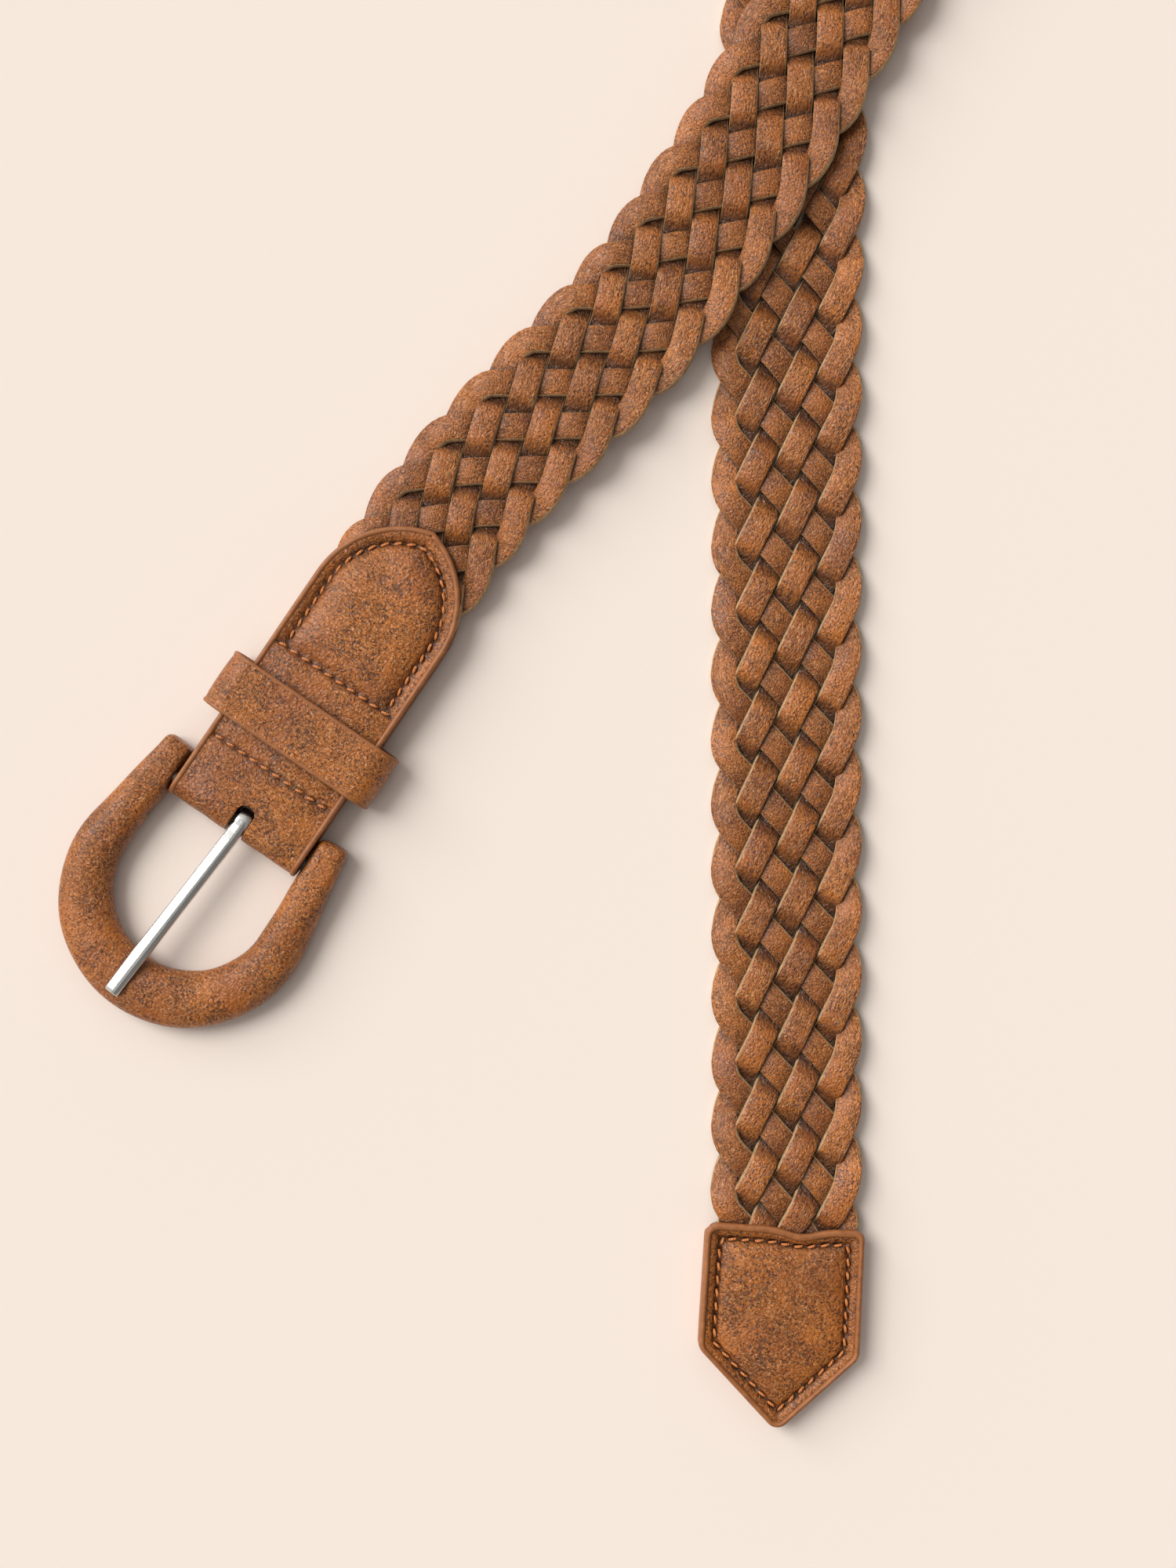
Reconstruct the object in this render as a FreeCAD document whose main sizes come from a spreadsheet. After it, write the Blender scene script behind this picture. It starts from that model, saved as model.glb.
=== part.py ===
import FreeCAD, Part
import math
import os

# A braided leather belt laid on a table, in millimetres.
# X runs along the buckle's bar, Y along the tab away from the buckle, Z is up.
# The origin is the middle of the tab's back face.

V = FreeCAD.Vector
doc = FreeCAD.newDocument("braided_belt")

# ------------------------------------------------------------ driving dimensions
SIZES = [
    ("leather", 1.2, "thickness of the leather on tab and tip"),
    ("tab_thick", 7.6, "tab, front face to back face"),
    ("tab_width", 36.6, "tab with its painted edges"),
    ("edge_width", 1.3, "painted edge round tab and tip"),
    ("edge_proud", 0.2, "painted edge standing above the leather"),
    ("bar_y", -40.0, "axis of the buckle's bar"),
    ("arch_y", 20.0, "where the tab starts to narrow"),
    ("arch_radius", 23.3, "side arcs of the tab's pointed end"),
    ("slot_width", 5.2, "slot in the fold for the prong"),
    ("slot_end", 3.4, "end of the slot, beyond the bar"),
    ("prong_x", 0.9, "prong and slot, right of the tab's middle"),
    ("pad_thick", 1.1, "padding under the front leather of the tab"),
    ("stitch_long", 2.2, "one stitch along the seam"),
    ("stitch_wide", 0.7, "thread"),
    ("stitch_pitch", 3.2, "stitch to stitch"),
    ("stitch_inset", 2.5, "seam to the edge of the tab"),
    ("bar_radius", 1.8, "buckle bar"),
    ("rim_radius", 31.0, "outside of the buckle's round end"),
    ("rim_centre", -23.0, "centre of that radius, from the bar"),
    ("eye_radius", 19.3, "inside of the buckle's round end"),
    ("eye_centre", -20.5, "centre of that radius, from the bar"),
    ("arm_end", 3.5, "centre of the arms' round ends, beyond the bar"),
    ("rim_thick", 8.8, "buckle, top to bottom"),
    ("rim_round", 3.3, "rounding of the leather wrap"),
    ("core_inset", 2.4, "leather wrap over the steel core"),
    ("core_thick", 3.5, "steel core"),
    ("prong_width", 4.0, "prong"),
    ("prong_thick", 2.4, "prong"),
    ("prong_eye", 3.35, "outside radius of the prong's eye"),
    ("prong_play", 0.08, "radial clearance on the bar"),
    ("prong_reach", 51.0, "bar to the prong's tip"),
    ("prong_lean", 3.4, "prong's sideways lean, degrees"),
    ("keeper_y", -13.8, "middle of the keeper"),
    ("keeper_long", 14.3, "keeper along the belt"),
    ("keeper_width", 47.3, "keeper, outside"),
    ("keeper_thick", 1.6, "keeper leather"),
    ("keeper_gap", 0.5, "air between keeper and tab"),
    ("keeper_round", 5.6, "outside corners of the keeper"),
    ("strand_wide", 5.0, "braid strand, slimmed so that strands only just meet where they cross"),
    ("strand_thick", 1.2, "braid strand, slimmed"),
    ("braid_half", 17.3, "braid centre line to the strands' sharp turning point"),
    ("braid_pitch", 14.6, "scallop to scallop near the buckle"),
    ("tip_pitch", 15.6, "scallop to scallop near the tip"),
    ("tip_shift", 11.3, "extra slack taken up round the loop"),
    ("braid_start", 14.1, "first turning point along the braid"),
    ("turn_radius", 11.0, "strand's turn at the edge"),
    ("skew", 0.488, "lean of the braid: runs to the left are longer near the buckle"),
    ("left_rise", 1.3, "height at a crossing of a run to the left"),
    ("right_rise", 0.6, "height at a crossing of a run to the right"),
    ("turn_middle", 0.4, "height of a turning strand at the braid's edges"),
    ("turn_shift", 0.2, "the height's change where the braid leans"),
    ("braid_in_tab", 0.86, "braid squeezed in width inside the tab"),
    ("braid_begin", -28.0, "where the braid starts inside the tab"),
    ("tip_x", 189.0, "point of the tip"),
    ("tip_y", -89.6, "point of the tip"),
    ("tip_lean", 31.2, "axis of the tip, degrees left of Y"),
    ("tip_width", 39.0, "tip"),
    ("tip_long", 49.8, "tip, top edge to point"),
    ("tip_shoulder", 18.8, "height of the tip's pointed part"),
    ("tip_thick", 7.4, "tip, front face to back face"),
    ("end_radius", 30.0, "far end of the loop"),
    ("side_radius", 120.0, "sides of the loop"),
    ("side_turn", 30.0, "turn on each side of the loop, degrees"),
    ("overlap", 4.3, "upper leg's height above the lower one"),
]

sheet = doc.addObject("Spreadsheet::Sheet", "sizes")
size = {}
for row, (alias, value, note) in enumerate(SIZES, start=1):
    sheet.set("A%d" % row, alias)
    sheet.set("B%d" % row, str(value))
    sheet.set("C%d" % row, note)
    sheet.setAlias("B%d" % row, alias)
    size[alias] = value
doc.recompute()

LEATHER = size["leather"]
TAB_TOP = size["tab_thick"]
BAR_Y = size["bar_y"]
BAR_Z = TAB_TOP / 2
TABLE = -(size["keeper_gap"] + size["keeper_thick"])
CLEAR = 0.1


# ------------------------------------------------------------ small helpers
def new_body(name):
    body = doc.addObject("PartDesign::Body", name)
    body.Label = name
    return body


def sketch_on(body, role, name, height=0.0):
    """A sketch on one of the body's own origin planes, lifted along the plane's normal."""
    sketch = body.newObject("Sketcher::SketchObject", name)
    plane = [f for f in body.Origin.OriginFeatures if f.Role == role][0]
    sketch.AttachmentSupport = [(plane, "")]
    sketch.MapMode = "FlatFace"
    sketch.AttachmentOffset = FreeCAD.Placement(V(0, 0, height), FreeCAD.Rotation())
    return sketch


def flat(point):
    return V(point[0], point[1], 0)


def add_lines(sketch, points):
    """A closed outline of straight lines."""
    for first, second in zip(points, points[1:] + points[:1]):
        sketch.addGeometry(Part.LineSegment(flat(first), flat(second)), False)


def add_path(sketch, pieces):
    """Pieces are ("line", a, b) or ("arc", a, through, b)."""
    for piece in pieces:
        if piece[0] == "line":
            sketch.addGeometry(Part.LineSegment(flat(piece[1]), flat(piece[2])), False)
        else:
            sketch.addGeometry(Part.Arc(flat(piece[1]), flat(piece[2]), flat(piece[3])), False)


def pad(body, sketch, name, length, both_ways=False):
    feature = body.newObject("PartDesign::Pad", name)
    feature.Profile = sketch
    feature.setExpression("Length", length)
    if both_ways:
        feature.Midplane = True
    sketch.Visibility = False
    return feature


def pocket_through(body, sketch, name):
    feature = body.newObject("PartDesign::Pocket", name)
    feature.Profile = sketch
    feature.Type = "ThroughAll"
    feature.Midplane = True
    sketch.Visibility = False
    return feature


def feature_of(name, shape):
    item = doc.addObject("Part::Feature", name)
    item.Label = name
    item.Shape = shape
    return item


# ------------------------------------------------------------ tab
def arch_outline(inset, lower_y):
    """The tab seen from above: straight sides and two arcs that meet in a point."""
    half = size["tab_width"] / 2 - inset
    radius = size["arch_radius"] - inset
    centre = size["tab_width"] / 2 - size["arch_radius"]
    base = size["arch_y"]
    apex = (0.0, base + math.sqrt(radius ** 2 - centre ** 2))
    middle = math.radians(40.0)
    right = (centre + radius * math.cos(middle), base + radius * math.sin(middle))
    left = (-right[0], right[1])
    return [
        ("line", (half, lower_y), (half, base)),
        ("arc", (half, base), right, apex),
        ("arc", apex, left, (-half, base)),
        ("line", (-half, base), (-half, lower_y)),
    ]


def make_tab_leather():
    """One piece of leather folded round the bar, with the slot for the prong."""
    body = new_body("tab_leather")
    outer = TAB_TOP / 2
    inner = outer - LEATHER
    far = size["arch_y"] + size["arch_radius"] + 5
    side = sketch_on(body, "YZ_Plane", "tab_side")
    add_path(side, [
        ("line", (far, 0), (BAR_Y, 0)),
        ("arc", (BAR_Y, 0), (BAR_Y - outer, BAR_Z), (BAR_Y, TAB_TOP)),
        ("line", (BAR_Y, TAB_TOP), (far, TAB_TOP)),
        ("line", (far, TAB_TOP), (far, TAB_TOP - LEATHER)),
        ("line", (far, TAB_TOP - LEATHER), (BAR_Y, TAB_TOP - LEATHER)),
        ("arc", (BAR_Y, TAB_TOP - LEATHER), (BAR_Y - inner, BAR_Z), (BAR_Y, LEATHER)),
        ("line", (BAR_Y, LEATHER), (far, LEATHER)),
        ("line", (far, LEATHER), (far, 0)),
    ])
    pad(body, side, "tab_fold", "sizes.tab_width - 2 * sizes.edge_width", both_ways=True)
    doc.recompute()
    outline = sketch_on(body, "XY_Plane", "tab_arch")
    inset = size["edge_width"]
    half = size["tab_width"] / 2 - inset
    base = size["arch_y"]
    add_path(outline, arch_outline(inset, base)[1:3])
    add_lines_open(outline, [(-half, base), (-30, base), (-30, far + 5), (30, far + 5), (30, base), (half, base)])
    pocket_through(body, outline, "tab_end")
    doc.recompute()
    slot = sketch_on(body, "XY_Plane", "prong_slot")
    wide = size["slot_width"] / 2
    end = BAR_Y + size["slot_end"]
    low = BAR_Y - 8
    left = size["prong_x"] - wide
    right = size["prong_x"] + wide
    add_path(slot, [
        ("line", (left, low), (left, end - wide / 2)),
        ("arc", (left, end - wide / 2), (size["prong_x"], end), (right, end - wide / 2)),
        ("line", (right, end - wide / 2), (right, low)),
        ("line", (right, low), (left, low)),
    ])
    body.Tip = pocket_through(body, slot, "slot_cut")
    return body


def add_lines_open(sketch, points):
    for first, second in zip(points, points[1:]):
        sketch.addGeometry(Part.LineSegment(flat(first), flat(second)), False)


def make_tab_edge():
    """Painted edge: a strip round the front leather and a wall down each side."""
    body = new_body("tab_edge")
    lower_y = BAR_Y + size["bar_radius"] + 1.0
    inset = size["edge_width"]
    strip = sketch_on(body, "XY_Plane", "edge_strip", TAB_TOP - LEATHER)
    outer = arch_outline(0.0, lower_y)
    inner = arch_outline(inset, lower_y)
    half = size["tab_width"] / 2
    add_path(strip, outer)
    add_path(strip, inner)
    for sign in (-1, 1):
        add_lines_open(strip, [(sign * half, lower_y), (sign * (half - inset), lower_y)])
    pad(body, strip, "edge_top", "sizes.leather + sizes.edge_proud")
    doc.recompute()
    walls = sketch_on(body, "XY_Plane", "edge_walls")
    top = size["arch_y"] - 4.0
    for sign in (-1, 1):
        add_lines(walls, [
            (sign * half, lower_y), (sign * half, top),
            (sign * (half - inset), top), (sign * (half - inset), lower_y),
        ])
    body.Tip = pad(body, walls, "edge_sides", "sizes.tab_thick - sizes.leather")
    return body


def make_tab_padding():
    """The padding that puffs up the front leather inside the arched seam."""
    body = new_body("tab_padding")
    top = TAB_TOP - LEATHER - CLEAR
    outline = sketch_on(body, "XY_Plane", "padding_outline", top - size["pad_thick"])
    lower_y = BAR_Y + 44.0
    inset = size["edge_width"] + size["stitch_inset"]
    pieces = arch_outline(inset, lower_y)
    half = size["tab_width"] / 2 - inset
    add_path(outline, pieces + [("line", (-half, lower_y), (half, lower_y))])
    body.Tip = pad(body, outline, "padding", "sizes.pad_thick")
    return body


def stitch(x, y, angle, top):
    """One stitch lying on the leather, turned by an angle in degrees."""
    long = size["stitch_long"]
    wide = size["stitch_wide"]
    block = Part.makeBox(long, wide, wide * 0.6, V(-long / 2, -wide / 2, 0))
    block.Placement = FreeCAD.Placement(V(x, y, top), FreeCAD.Rotation(V(0, 0, 1), angle))
    return block


def stitch_line(start, end, top):
    """Evenly spaced stitches from one point to another."""
    run = math.hypot(end[0] - start[0], end[1] - start[1])
    angle = math.degrees(math.atan2(end[1] - start[1], end[0] - start[0]))
    count = max(1, round(run / size["stitch_pitch"]))
    made = []
    for index in range(count):
        share = (index + 0.5) / count
        x = start[0] + (end[0] - start[0]) * share
        y = start[1] + (end[1] - start[1]) * share
        made.append(stitch(x, y, angle, top))
    return made


def make_tab_stitches():
    """Three seams on the tab: two straight rows across it and the arched one."""
    inset = size["edge_width"] + size["stitch_inset"]
    half = size["tab_width"] / 2 - size["edge_width"] - 0.8
    lower = BAR_Y + 14.0
    upper = BAR_Y + 40.9
    base = size["arch_y"]
    radius = size["arch_radius"] - inset
    centre = size["tab_width"] / 2 - size["arch_radius"]
    feature_of("tab_stitches_lower", Part.makeCompound(
        stitch_line((-half, lower), (half, lower), TAB_TOP)))
    feature_of("tab_stitches_upper", Part.makeCompound(
        stitch_line((-half, upper), (half, upper), TAB_TOP)))
    apex_angle = math.degrees(math.acos(-centre / radius))
    arch = []
    side = size["tab_width"] / 2 - inset
    for sign in (-1, 1):
        arch += stitch_line((sign * side, upper + 1.6), (sign * side, base), TAB_TOP)
        count = round(radius * math.radians(apex_angle) / size["stitch_pitch"])
        for index in range(count):
            angle = apex_angle * (index + 0.5) / count
            x = centre + radius * math.cos(math.radians(angle))
            y = base + radius * math.sin(math.radians(angle))
            arch.append(stitch(sign * x, y, sign * (angle + 90), TAB_TOP))
    feature_of("tab_stitches_arch", Part.makeCompound(arch))


# ------------------------------------------------------------ buckle
def rim_outline(inset):
    """The buckle from above: a round end and two arms with round ends."""
    outer = size["rim_radius"] - inset
    inner = size["eye_radius"] + inset
    rim_y = BAR_Y + size["rim_centre"]
    eye_y = BAR_Y + size["eye_centre"]
    arm_y = BAR_Y + size["arm_end"]
    arm_wide = 3.65
    arm_x = size["eye_radius"] + arm_wide
    small = arm_wide - inset
    across = arm_x
    along = arm_y - rim_y
    span = math.hypot(across, along)
    normal = math.atan2(along, across) - math.acos((outer - small) / span)
    away = (math.cos(normal), math.sin(normal))
    rim_point = (outer * away[0], rim_y + outer * away[1])
    arm_point = (arm_x + small * away[0], arm_y + small * away[1])
    half_turn = (normal + math.pi) / 2
    arm_top = (arm_x + small * math.cos(half_turn), arm_y + small * math.sin(half_turn))
    arm_inner = (inner, arm_y)

    def left(point):
        return (-point[0], point[1])

    return [
        ("arc", left(rim_point), (0, rim_y - outer), rim_point),
        ("line", rim_point, arm_point),
        ("arc", arm_point, arm_top, arm_inner),
        ("line", arm_inner, (inner, eye_y)),
        ("arc", (inner, eye_y), (0, eye_y - inner), (-inner, eye_y)),
        ("line", (-inner, eye_y), left(arm_inner)),
        ("arc", left(arm_inner), left(arm_top), left(arm_point)),
        ("line", left(arm_point), left(rim_point)),
    ]


def make_buckle():
    """A steel core with its bar, and the leather wrapped round the core."""
    rim_low = TABLE + CLEAR
    core_low = rim_low + (size["rim_thick"] - size["core_thick"]) / 2 + 0.6
    ring = new_body("core_ring")
    core_sketch = sketch_on(ring, "XY_Plane", "core_outline", core_low)
    add_path(core_sketch, rim_outline(size["core_inset"]))
    ring.Tip = pad(ring, core_sketch, "core_plate", "sizes.core_thick")
    bar = doc.addObject("Part::Cylinder", "bar_rod")
    bar.setExpression("Radius", "sizes.bar_radius")
    bar.setExpression("Height", "2 * (sizes.eye_radius + sizes.core_inset + 0.9)")
    bar_half = size["eye_radius"] + size["core_inset"] + 0.9
    bar.Placement = FreeCAD.Placement(V(-bar_half, BAR_Y, BAR_Z), FreeCAD.Rotation(V(0, 1, 0), 90))
    doc.recompute()
    core = doc.addObject("Part::Fuse", "buckle_frame")
    core.Base = ring
    core.Tool = bar
    core.Label = "buckle_frame"
    wrap = new_body("wrap_block")
    wrap_sketch = sketch_on(wrap, "XY_Plane", "wrap_outline", rim_low)
    add_path(wrap_sketch, rim_outline(0.0))
    wrap_pad = pad(wrap, wrap_sketch, "wrap_plate", "sizes.rim_thick")
    doc.recompute()
    rounded = wrap.newObject("PartDesign::Fillet", "wrap_round")
    edges = []
    for index, edge in enumerate(wrap_pad.Shape.Edges, start=1):
        if abs(edge.BoundBox.ZMax - edge.BoundBox.ZMin) < 1e-6:
            edges.append("Edge%d" % index)
    rounded.Base = (wrap_pad, edges)
    rounded.setExpression("Radius", "sizes.rim_round")
    wrap.Tip = rounded
    doc.recompute()
    cover = doc.addObject("Part::Cut", "buckle_cover")
    cover.Base = wrap
    cover.Tool = core
    cover.Label = "buckle_cover"
    return [core, cover]


def make_prong():
    """A steel prong: an eye on the bar and a shank that rests on the rim."""
    rim_top = TABLE + CLEAR + size["rim_thick"]
    thick = size["prong_thick"]
    reach = -size["prong_reach"]
    inner_edge = size["eye_centre"] - size["eye_radius"]
    crown_y = inner_edge - 3.5
    shank = new_body("prong_shank")
    side = sketch_on(shank, "YZ_Plane", "shank_side")
    rest = rim_top - BAR_Z + 0.3
    add_lines(side, [
        (-2.6, -thick / 2), (crown_y + 3.0, rest - 0.1), (crown_y, rest), (reach, rest),
        (reach - 0.3, rest + thick - 0.6), (reach + 0.6, rest + thick - 0.3),
        (crown_y, rest + thick - 0.1), (crown_y + 5.0, rest + thick - 0.4), (-2.6, thick / 2),
    ])
    shank.Tip = pad(shank, side, "shank_pad", "sizes.prong_width", both_ways=True)
    lean = FreeCAD.Rotation(V(0, 0, 1), -size["prong_lean"])
    shank.Placement = FreeCAD.Placement(V(size["prong_x"], BAR_Y, BAR_Z), lean)
    eye = doc.addObject("Part::Cylinder", "prong_ring")
    eye.setExpression("Radius", "sizes.prong_eye")
    eye.setExpression("Height", "sizes.prong_width")
    turned = FreeCAD.Rotation(V(0, 1, 0), 90)
    eye.Placement = FreeCAD.Placement(V(size["prong_x"] - size["prong_width"] / 2, BAR_Y, BAR_Z), turned)
    hole = doc.addObject("Part::Cylinder", "prong_hole")
    hole.setExpression("Radius", "sizes.bar_radius + sizes.prong_play")
    hole.setExpression("Height", "4 * sizes.prong_width")
    hole.Placement = FreeCAD.Placement(V(-8, BAR_Y, BAR_Z), turned)
    doc.recompute()
    whole = doc.addObject("Part::Fuse", "prong_whole")
    whole.Base = eye
    whole.Tool = shank
    prong = doc.addObject("Part::Cut", "prong")
    prong.Base = whole
    prong.Tool = hole
    prong.Label = "prong"
    return prong


# ------------------------------------------------------------ keeper
def rounded_box(half_wide, low, high, radius):
    """A rounded rectangle in the XZ plane."""
    quarter = radius * (1 - math.sqrt(0.5))
    right = half_wide
    return [
        ("line", (-right + radius, low), (right - radius, low)),
        ("arc", (right - radius, low), (right - quarter, low + quarter), (right, low + radius)),
        ("line", (right, low + radius), (right, high - radius)),
        ("arc", (right, high - radius), (right - quarter, high - quarter), (right - radius, high)),
        ("line", (right - radius, high), (-right + radius, high)),
        ("arc", (-right + radius, high), (-right + quarter, high - quarter), (-right, high - radius)),
        ("line", (-right, high - radius), (-right, low + radius)),
        ("arc", (-right, low + radius), (-right + quarter, low + quarter), (-right + radius, low)),
    ]


def make_keeper():
    """A flattened leather ring round the tab."""
    body = new_body("keeper")
    thick = size["keeper_thick"]
    stitch_top = TAB_TOP + size["stitch_wide"] * 0.6
    low = TABLE
    high = stitch_top + size["keeper_gap"] + thick
    half = size["keeper_width"] / 2
    radius = size["keeper_round"]
    ring = sketch_on(body, "XZ_Plane", "keeper_ring", -size["keeper_y"])
    add_path(ring, rounded_box(half, low, high, radius))
    add_path(ring, rounded_box(half - thick, low + thick, high - thick, radius - thick))
    body.Tip = pad(body, ring, "keeper_band", "sizes.keeper_long", both_ways=True)
    return body


# ------------------------------------------------------------ the belt's course over the table
def heading_vector(angle):
    """A unit vector at an angle in degrees, counted left from Y."""
    turn = math.radians(angle)
    return V(-math.sin(turn), math.cos(turn), 0)


def walk(start, angle, pieces):
    """Follow straight and curved pieces; returns where they start, and the end."""
    stations = []
    point = V(start)
    for length, turn in pieces:
        stations.append((point, angle, length, turn))
        point = along_piece(point, angle, length, turn, length)[0]
        angle += turn
    return stations, point, angle


def along_piece(point, angle, length, turn, distance):
    """Point and heading at a distance along one piece."""
    if turn == 0:
        return point + heading_vector(angle) * distance, angle
    swept = turn * distance / length
    radius = length / math.radians(turn)
    chord = 2 * radius * math.sin(math.radians(swept) / 2)
    return point + heading_vector(angle + swept / 2) * chord, angle + swept


def belt_course():
    """Buckle leg, teardrop loop and tip leg, as (start, heading, length, turn) pieces."""
    begin = V(0, size["braid_begin"], 0)
    leg = [(66, 0), (30, -10), (38, 0), (26, 10), (14, 0), (30, 5)]
    first, leg_end, leg_angle = walk(begin, 0, leg)
    tip = V(size["tip_x"], size["tip_y"], 0)
    back = [(size["tip_long"] + 2, 0), (16, 3.0), (182, 0), (38, -1.8)]
    back_way, tip_leg_end, tip_angle = walk(tip, size["tip_lean"], back)
    ahead = heading_vector(leg_angle)
    other = heading_vector(tip_angle)
    gap = tip_leg_end - leg_end
    cross = ahead.x * other.y - ahead.y * other.x
    to_cross = (gap.x * other.y - gap.y * other.x) / cross
    from_cross = (gap.x * ahead.y - gap.y * ahead.x) / cross
    between = tip_angle - leg_angle
    half = math.radians(between / 2)
    side = size["side_radius"]
    end = size["end_radius"]
    swing = math.radians(size["side_turn"]) - half
    straight = (end * math.cos(swing) + side * (math.cos(half) - math.cos(swing))) / math.sin(half)
    end_turn = 180 + between - 2 * size["side_turn"]
    side_long = side * math.radians(size["side_turn"])
    loop = [
        (to_cross + straight, 0),
        (side_long, size["side_turn"]),
        (end * math.radians(end_turn), end_turn),
        (side_long, size["side_turn"]),
        (straight + from_cross, 0),
    ]
    loop_way, loop_end, loop_angle = walk(leg_end, leg_angle, loop)
    down = [(38, 1.8), (182, 0), (16, -3.0), (size["tip_long"] + 2, 0)]
    down_way, tip_point, tip_heading = walk(loop_end, loop_angle, down)
    cross_at = sum(piece[0] for piece in leg) + to_cross
    return first + loop_way + down_way, cross_at, straight


COURSE, CROSS_AT, LOOP_STRAIGHT = belt_course()
COURSE_LONG = sum(piece[2] for piece in COURSE)
LOOP_LONG = 2 * LOOP_STRAIGHT + sum(piece[2] for piece in COURSE[7:10])
BRAID_LONG = COURSE_LONG - size["tip_shoulder"] - 3.0


def course_at(distance):
    for point, angle, length, turn in COURSE:
        if distance <= length:
            return along_piece(point, angle, length, turn, distance)
        distance -= length
    point, angle, length, turn = COURSE[-1]
    return along_piece(point, angle, length, turn, length + distance)


def ease(value, low, high):
    """0 below low, 1 above high, smooth between."""
    share = min(1.0, max(0.0, (value - low) / (high - low)))
    return share * share * (3 - 2 * share)


def twist_at(distance):
    """The braid lies flat, stands on its edge round the loop and lies down again, same face up."""
    loop_end = CROSS_AT + LOOP_LONG
    rising = ease(distance, CROSS_AT + 45, CROSS_AT + 165)
    falling = ease(distance, loop_end - 165, loop_end - 45)
    return math.radians(90 * (rising - falling))


def height_at(distance):
    """Height of the braid's middle above the table."""
    twist = twist_at(distance)
    braid_thick = 2 * size["left_rise"] + size["strand_thick"]
    edge_reach = size["braid_half"] + 0.2
    standing = edge_reach * abs(math.sin(twist)) + (braid_thick / 2 + CLEAR) * abs(math.cos(twist))
    in_tab = LEATHER + CLEAR + braid_thick / 2 - (TABLE + braid_thick / 2 + CLEAR)
    lift = in_tab + (size["overlap"] - in_tab) * ease(distance, 74, 118)
    lift *= 1 - ease(distance, CROSS_AT + 60, CROSS_AT + 130)
    tip_lift = LEATHER * ease(distance, COURSE_LONG - size["tip_long"] - 26, COURSE_LONG - size["tip_long"] - 4)
    return TABLE + standing + lift + tip_lift


def place(distance, across, up):
    """A point of the braid: distance along it, across it and above its middle."""
    point, angle = course_at(distance)
    twist = twist_at(distance)
    squeeze = size["braid_in_tab"] + (1 - size["braid_in_tab"]) * ease(distance, 38, 52)
    left = V(-math.cos(math.radians(angle)), -math.sin(math.radians(angle)), 0)
    up_axis = V(0, 0, 1)
    wide = left * math.cos(twist) + up_axis * math.sin(twist)
    out = up_axis * math.cos(twist) - left * math.sin(twist)
    middle = V(point.x, point.y, height_at(distance))
    return middle + wide * (across * squeeze) + out * up


# ------------------------------------------------------------ braid
def stretched(nominal):
    """Belt length of a braid position: the pitch grows slowly between the two legs."""
    growth = size["tip_pitch"] / size["braid_pitch"] - 1
    low = CROSS_AT
    high = CROSS_AT + LOOP_LONG
    if nominal < low:
        return nominal
    slack = size["tip_shift"] * ease(nominal, low, high)
    if nominal < high:
        return nominal + growth * (nominal - low) ** 2 / (2 * (high - low)) + slack
    return nominal + growth * (nominal - (low + high) / 2) + slack


def skew_at(nominal):
    """How far the braid leans: one way near the buckle, the other way near the tip."""
    return size["skew"] * (1 - 2 * ease(nominal, CROSS_AT, CROSS_AT + LOOP_LONG))


def strand_sections(number):
    """(position, across, up, heading) along one strand, in order.

    A strand zigzags between the edges: a run to the left, then one to the right.
    It meets six others on each run and passes over and under them in turn.
    """
    half = size["braid_half"]
    run = 3.5 * size["braid_pitch"]
    slope = math.atan2(2 * half, run)
    flat_part = 3.1
    sections = []
    turn_back = size["turn_radius"] * math.tan(slope)
    first = size["braid_start"] + (number - 8) * size["braid_pitch"]
    rounds = int(BRAID_LONG / (2 * run)) + 3
    for lap in range(rounds):
        right = first + lap * 2 * run
        left = right + run
        at_right_run, at_left_run = turn_heights(right)
        for share, up in ((1 / 3, -at_right_run), (2 / 3, at_left_run)):
            x, y = corner_point(right, -half, -slope, slope, turn_back, share)
            sections.append((x, y, up, slope * (2 * share - 1)))
        for meeting in range(1, 7):
            up = size["left_rise"] if meeting % 2 == 1 else -size["left_rise"]
            x = right + run * meeting / 7
            for step in (-flat_part, flat_part):
                across = half * (2 * meeting / 7 - 1) + step * math.sin(slope)
                sections.append((x + step * math.cos(slope), across, up, slope))
        at_right_run, at_left_run = turn_heights(left)
        for share, up in ((1 / 3, -at_left_run), (2 / 3, at_right_run)):
            x, y = corner_point(left, half, slope, -slope, turn_back, share)
            sections.append((x, y, up, slope * (1 - 2 * share)))
        for meeting in range(6, 0, -1):
            up = size["right_rise"] if meeting % 2 == 0 else -size["right_rise"]
            x = left + run * (7 - meeting) / 7
            sections.append((x, half * (2 * meeting / 7 - 1), up, -slope))
    return [leaned(section) for section in sections]


def turn_heights(nominal):
    """Heights of a turning strand next to its run to the right and to the left."""
    lean = skew_at(nominal) / size["skew"]
    return size["turn_middle"] + size["turn_shift"] * lean, size["turn_middle"] - size["turn_shift"] * lean


def leaned(section):
    """A section of the upright braid, moved and turned as the braid leans and stretches."""
    x, y, up, heading = section
    skew = skew_at(x)
    turned = math.atan2(math.sin(heading), math.cos(heading) + skew * math.sin(heading))
    return stretched(x) + skew * y, y, up, turned


def corner_point(x, y, incoming, outgoing, back, share):
    """A point on the round turn between two straight runs."""
    start_x = x - back * math.cos(incoming)
    start_y = y - back * math.sin(incoming)
    swept = (outgoing - incoming) * share
    chord = 2 * size["turn_radius"] * math.sin(abs(swept) / 2)
    direction = incoming + swept / 2
    return start_x + chord * math.cos(direction), start_y + chord * math.sin(direction)


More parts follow.
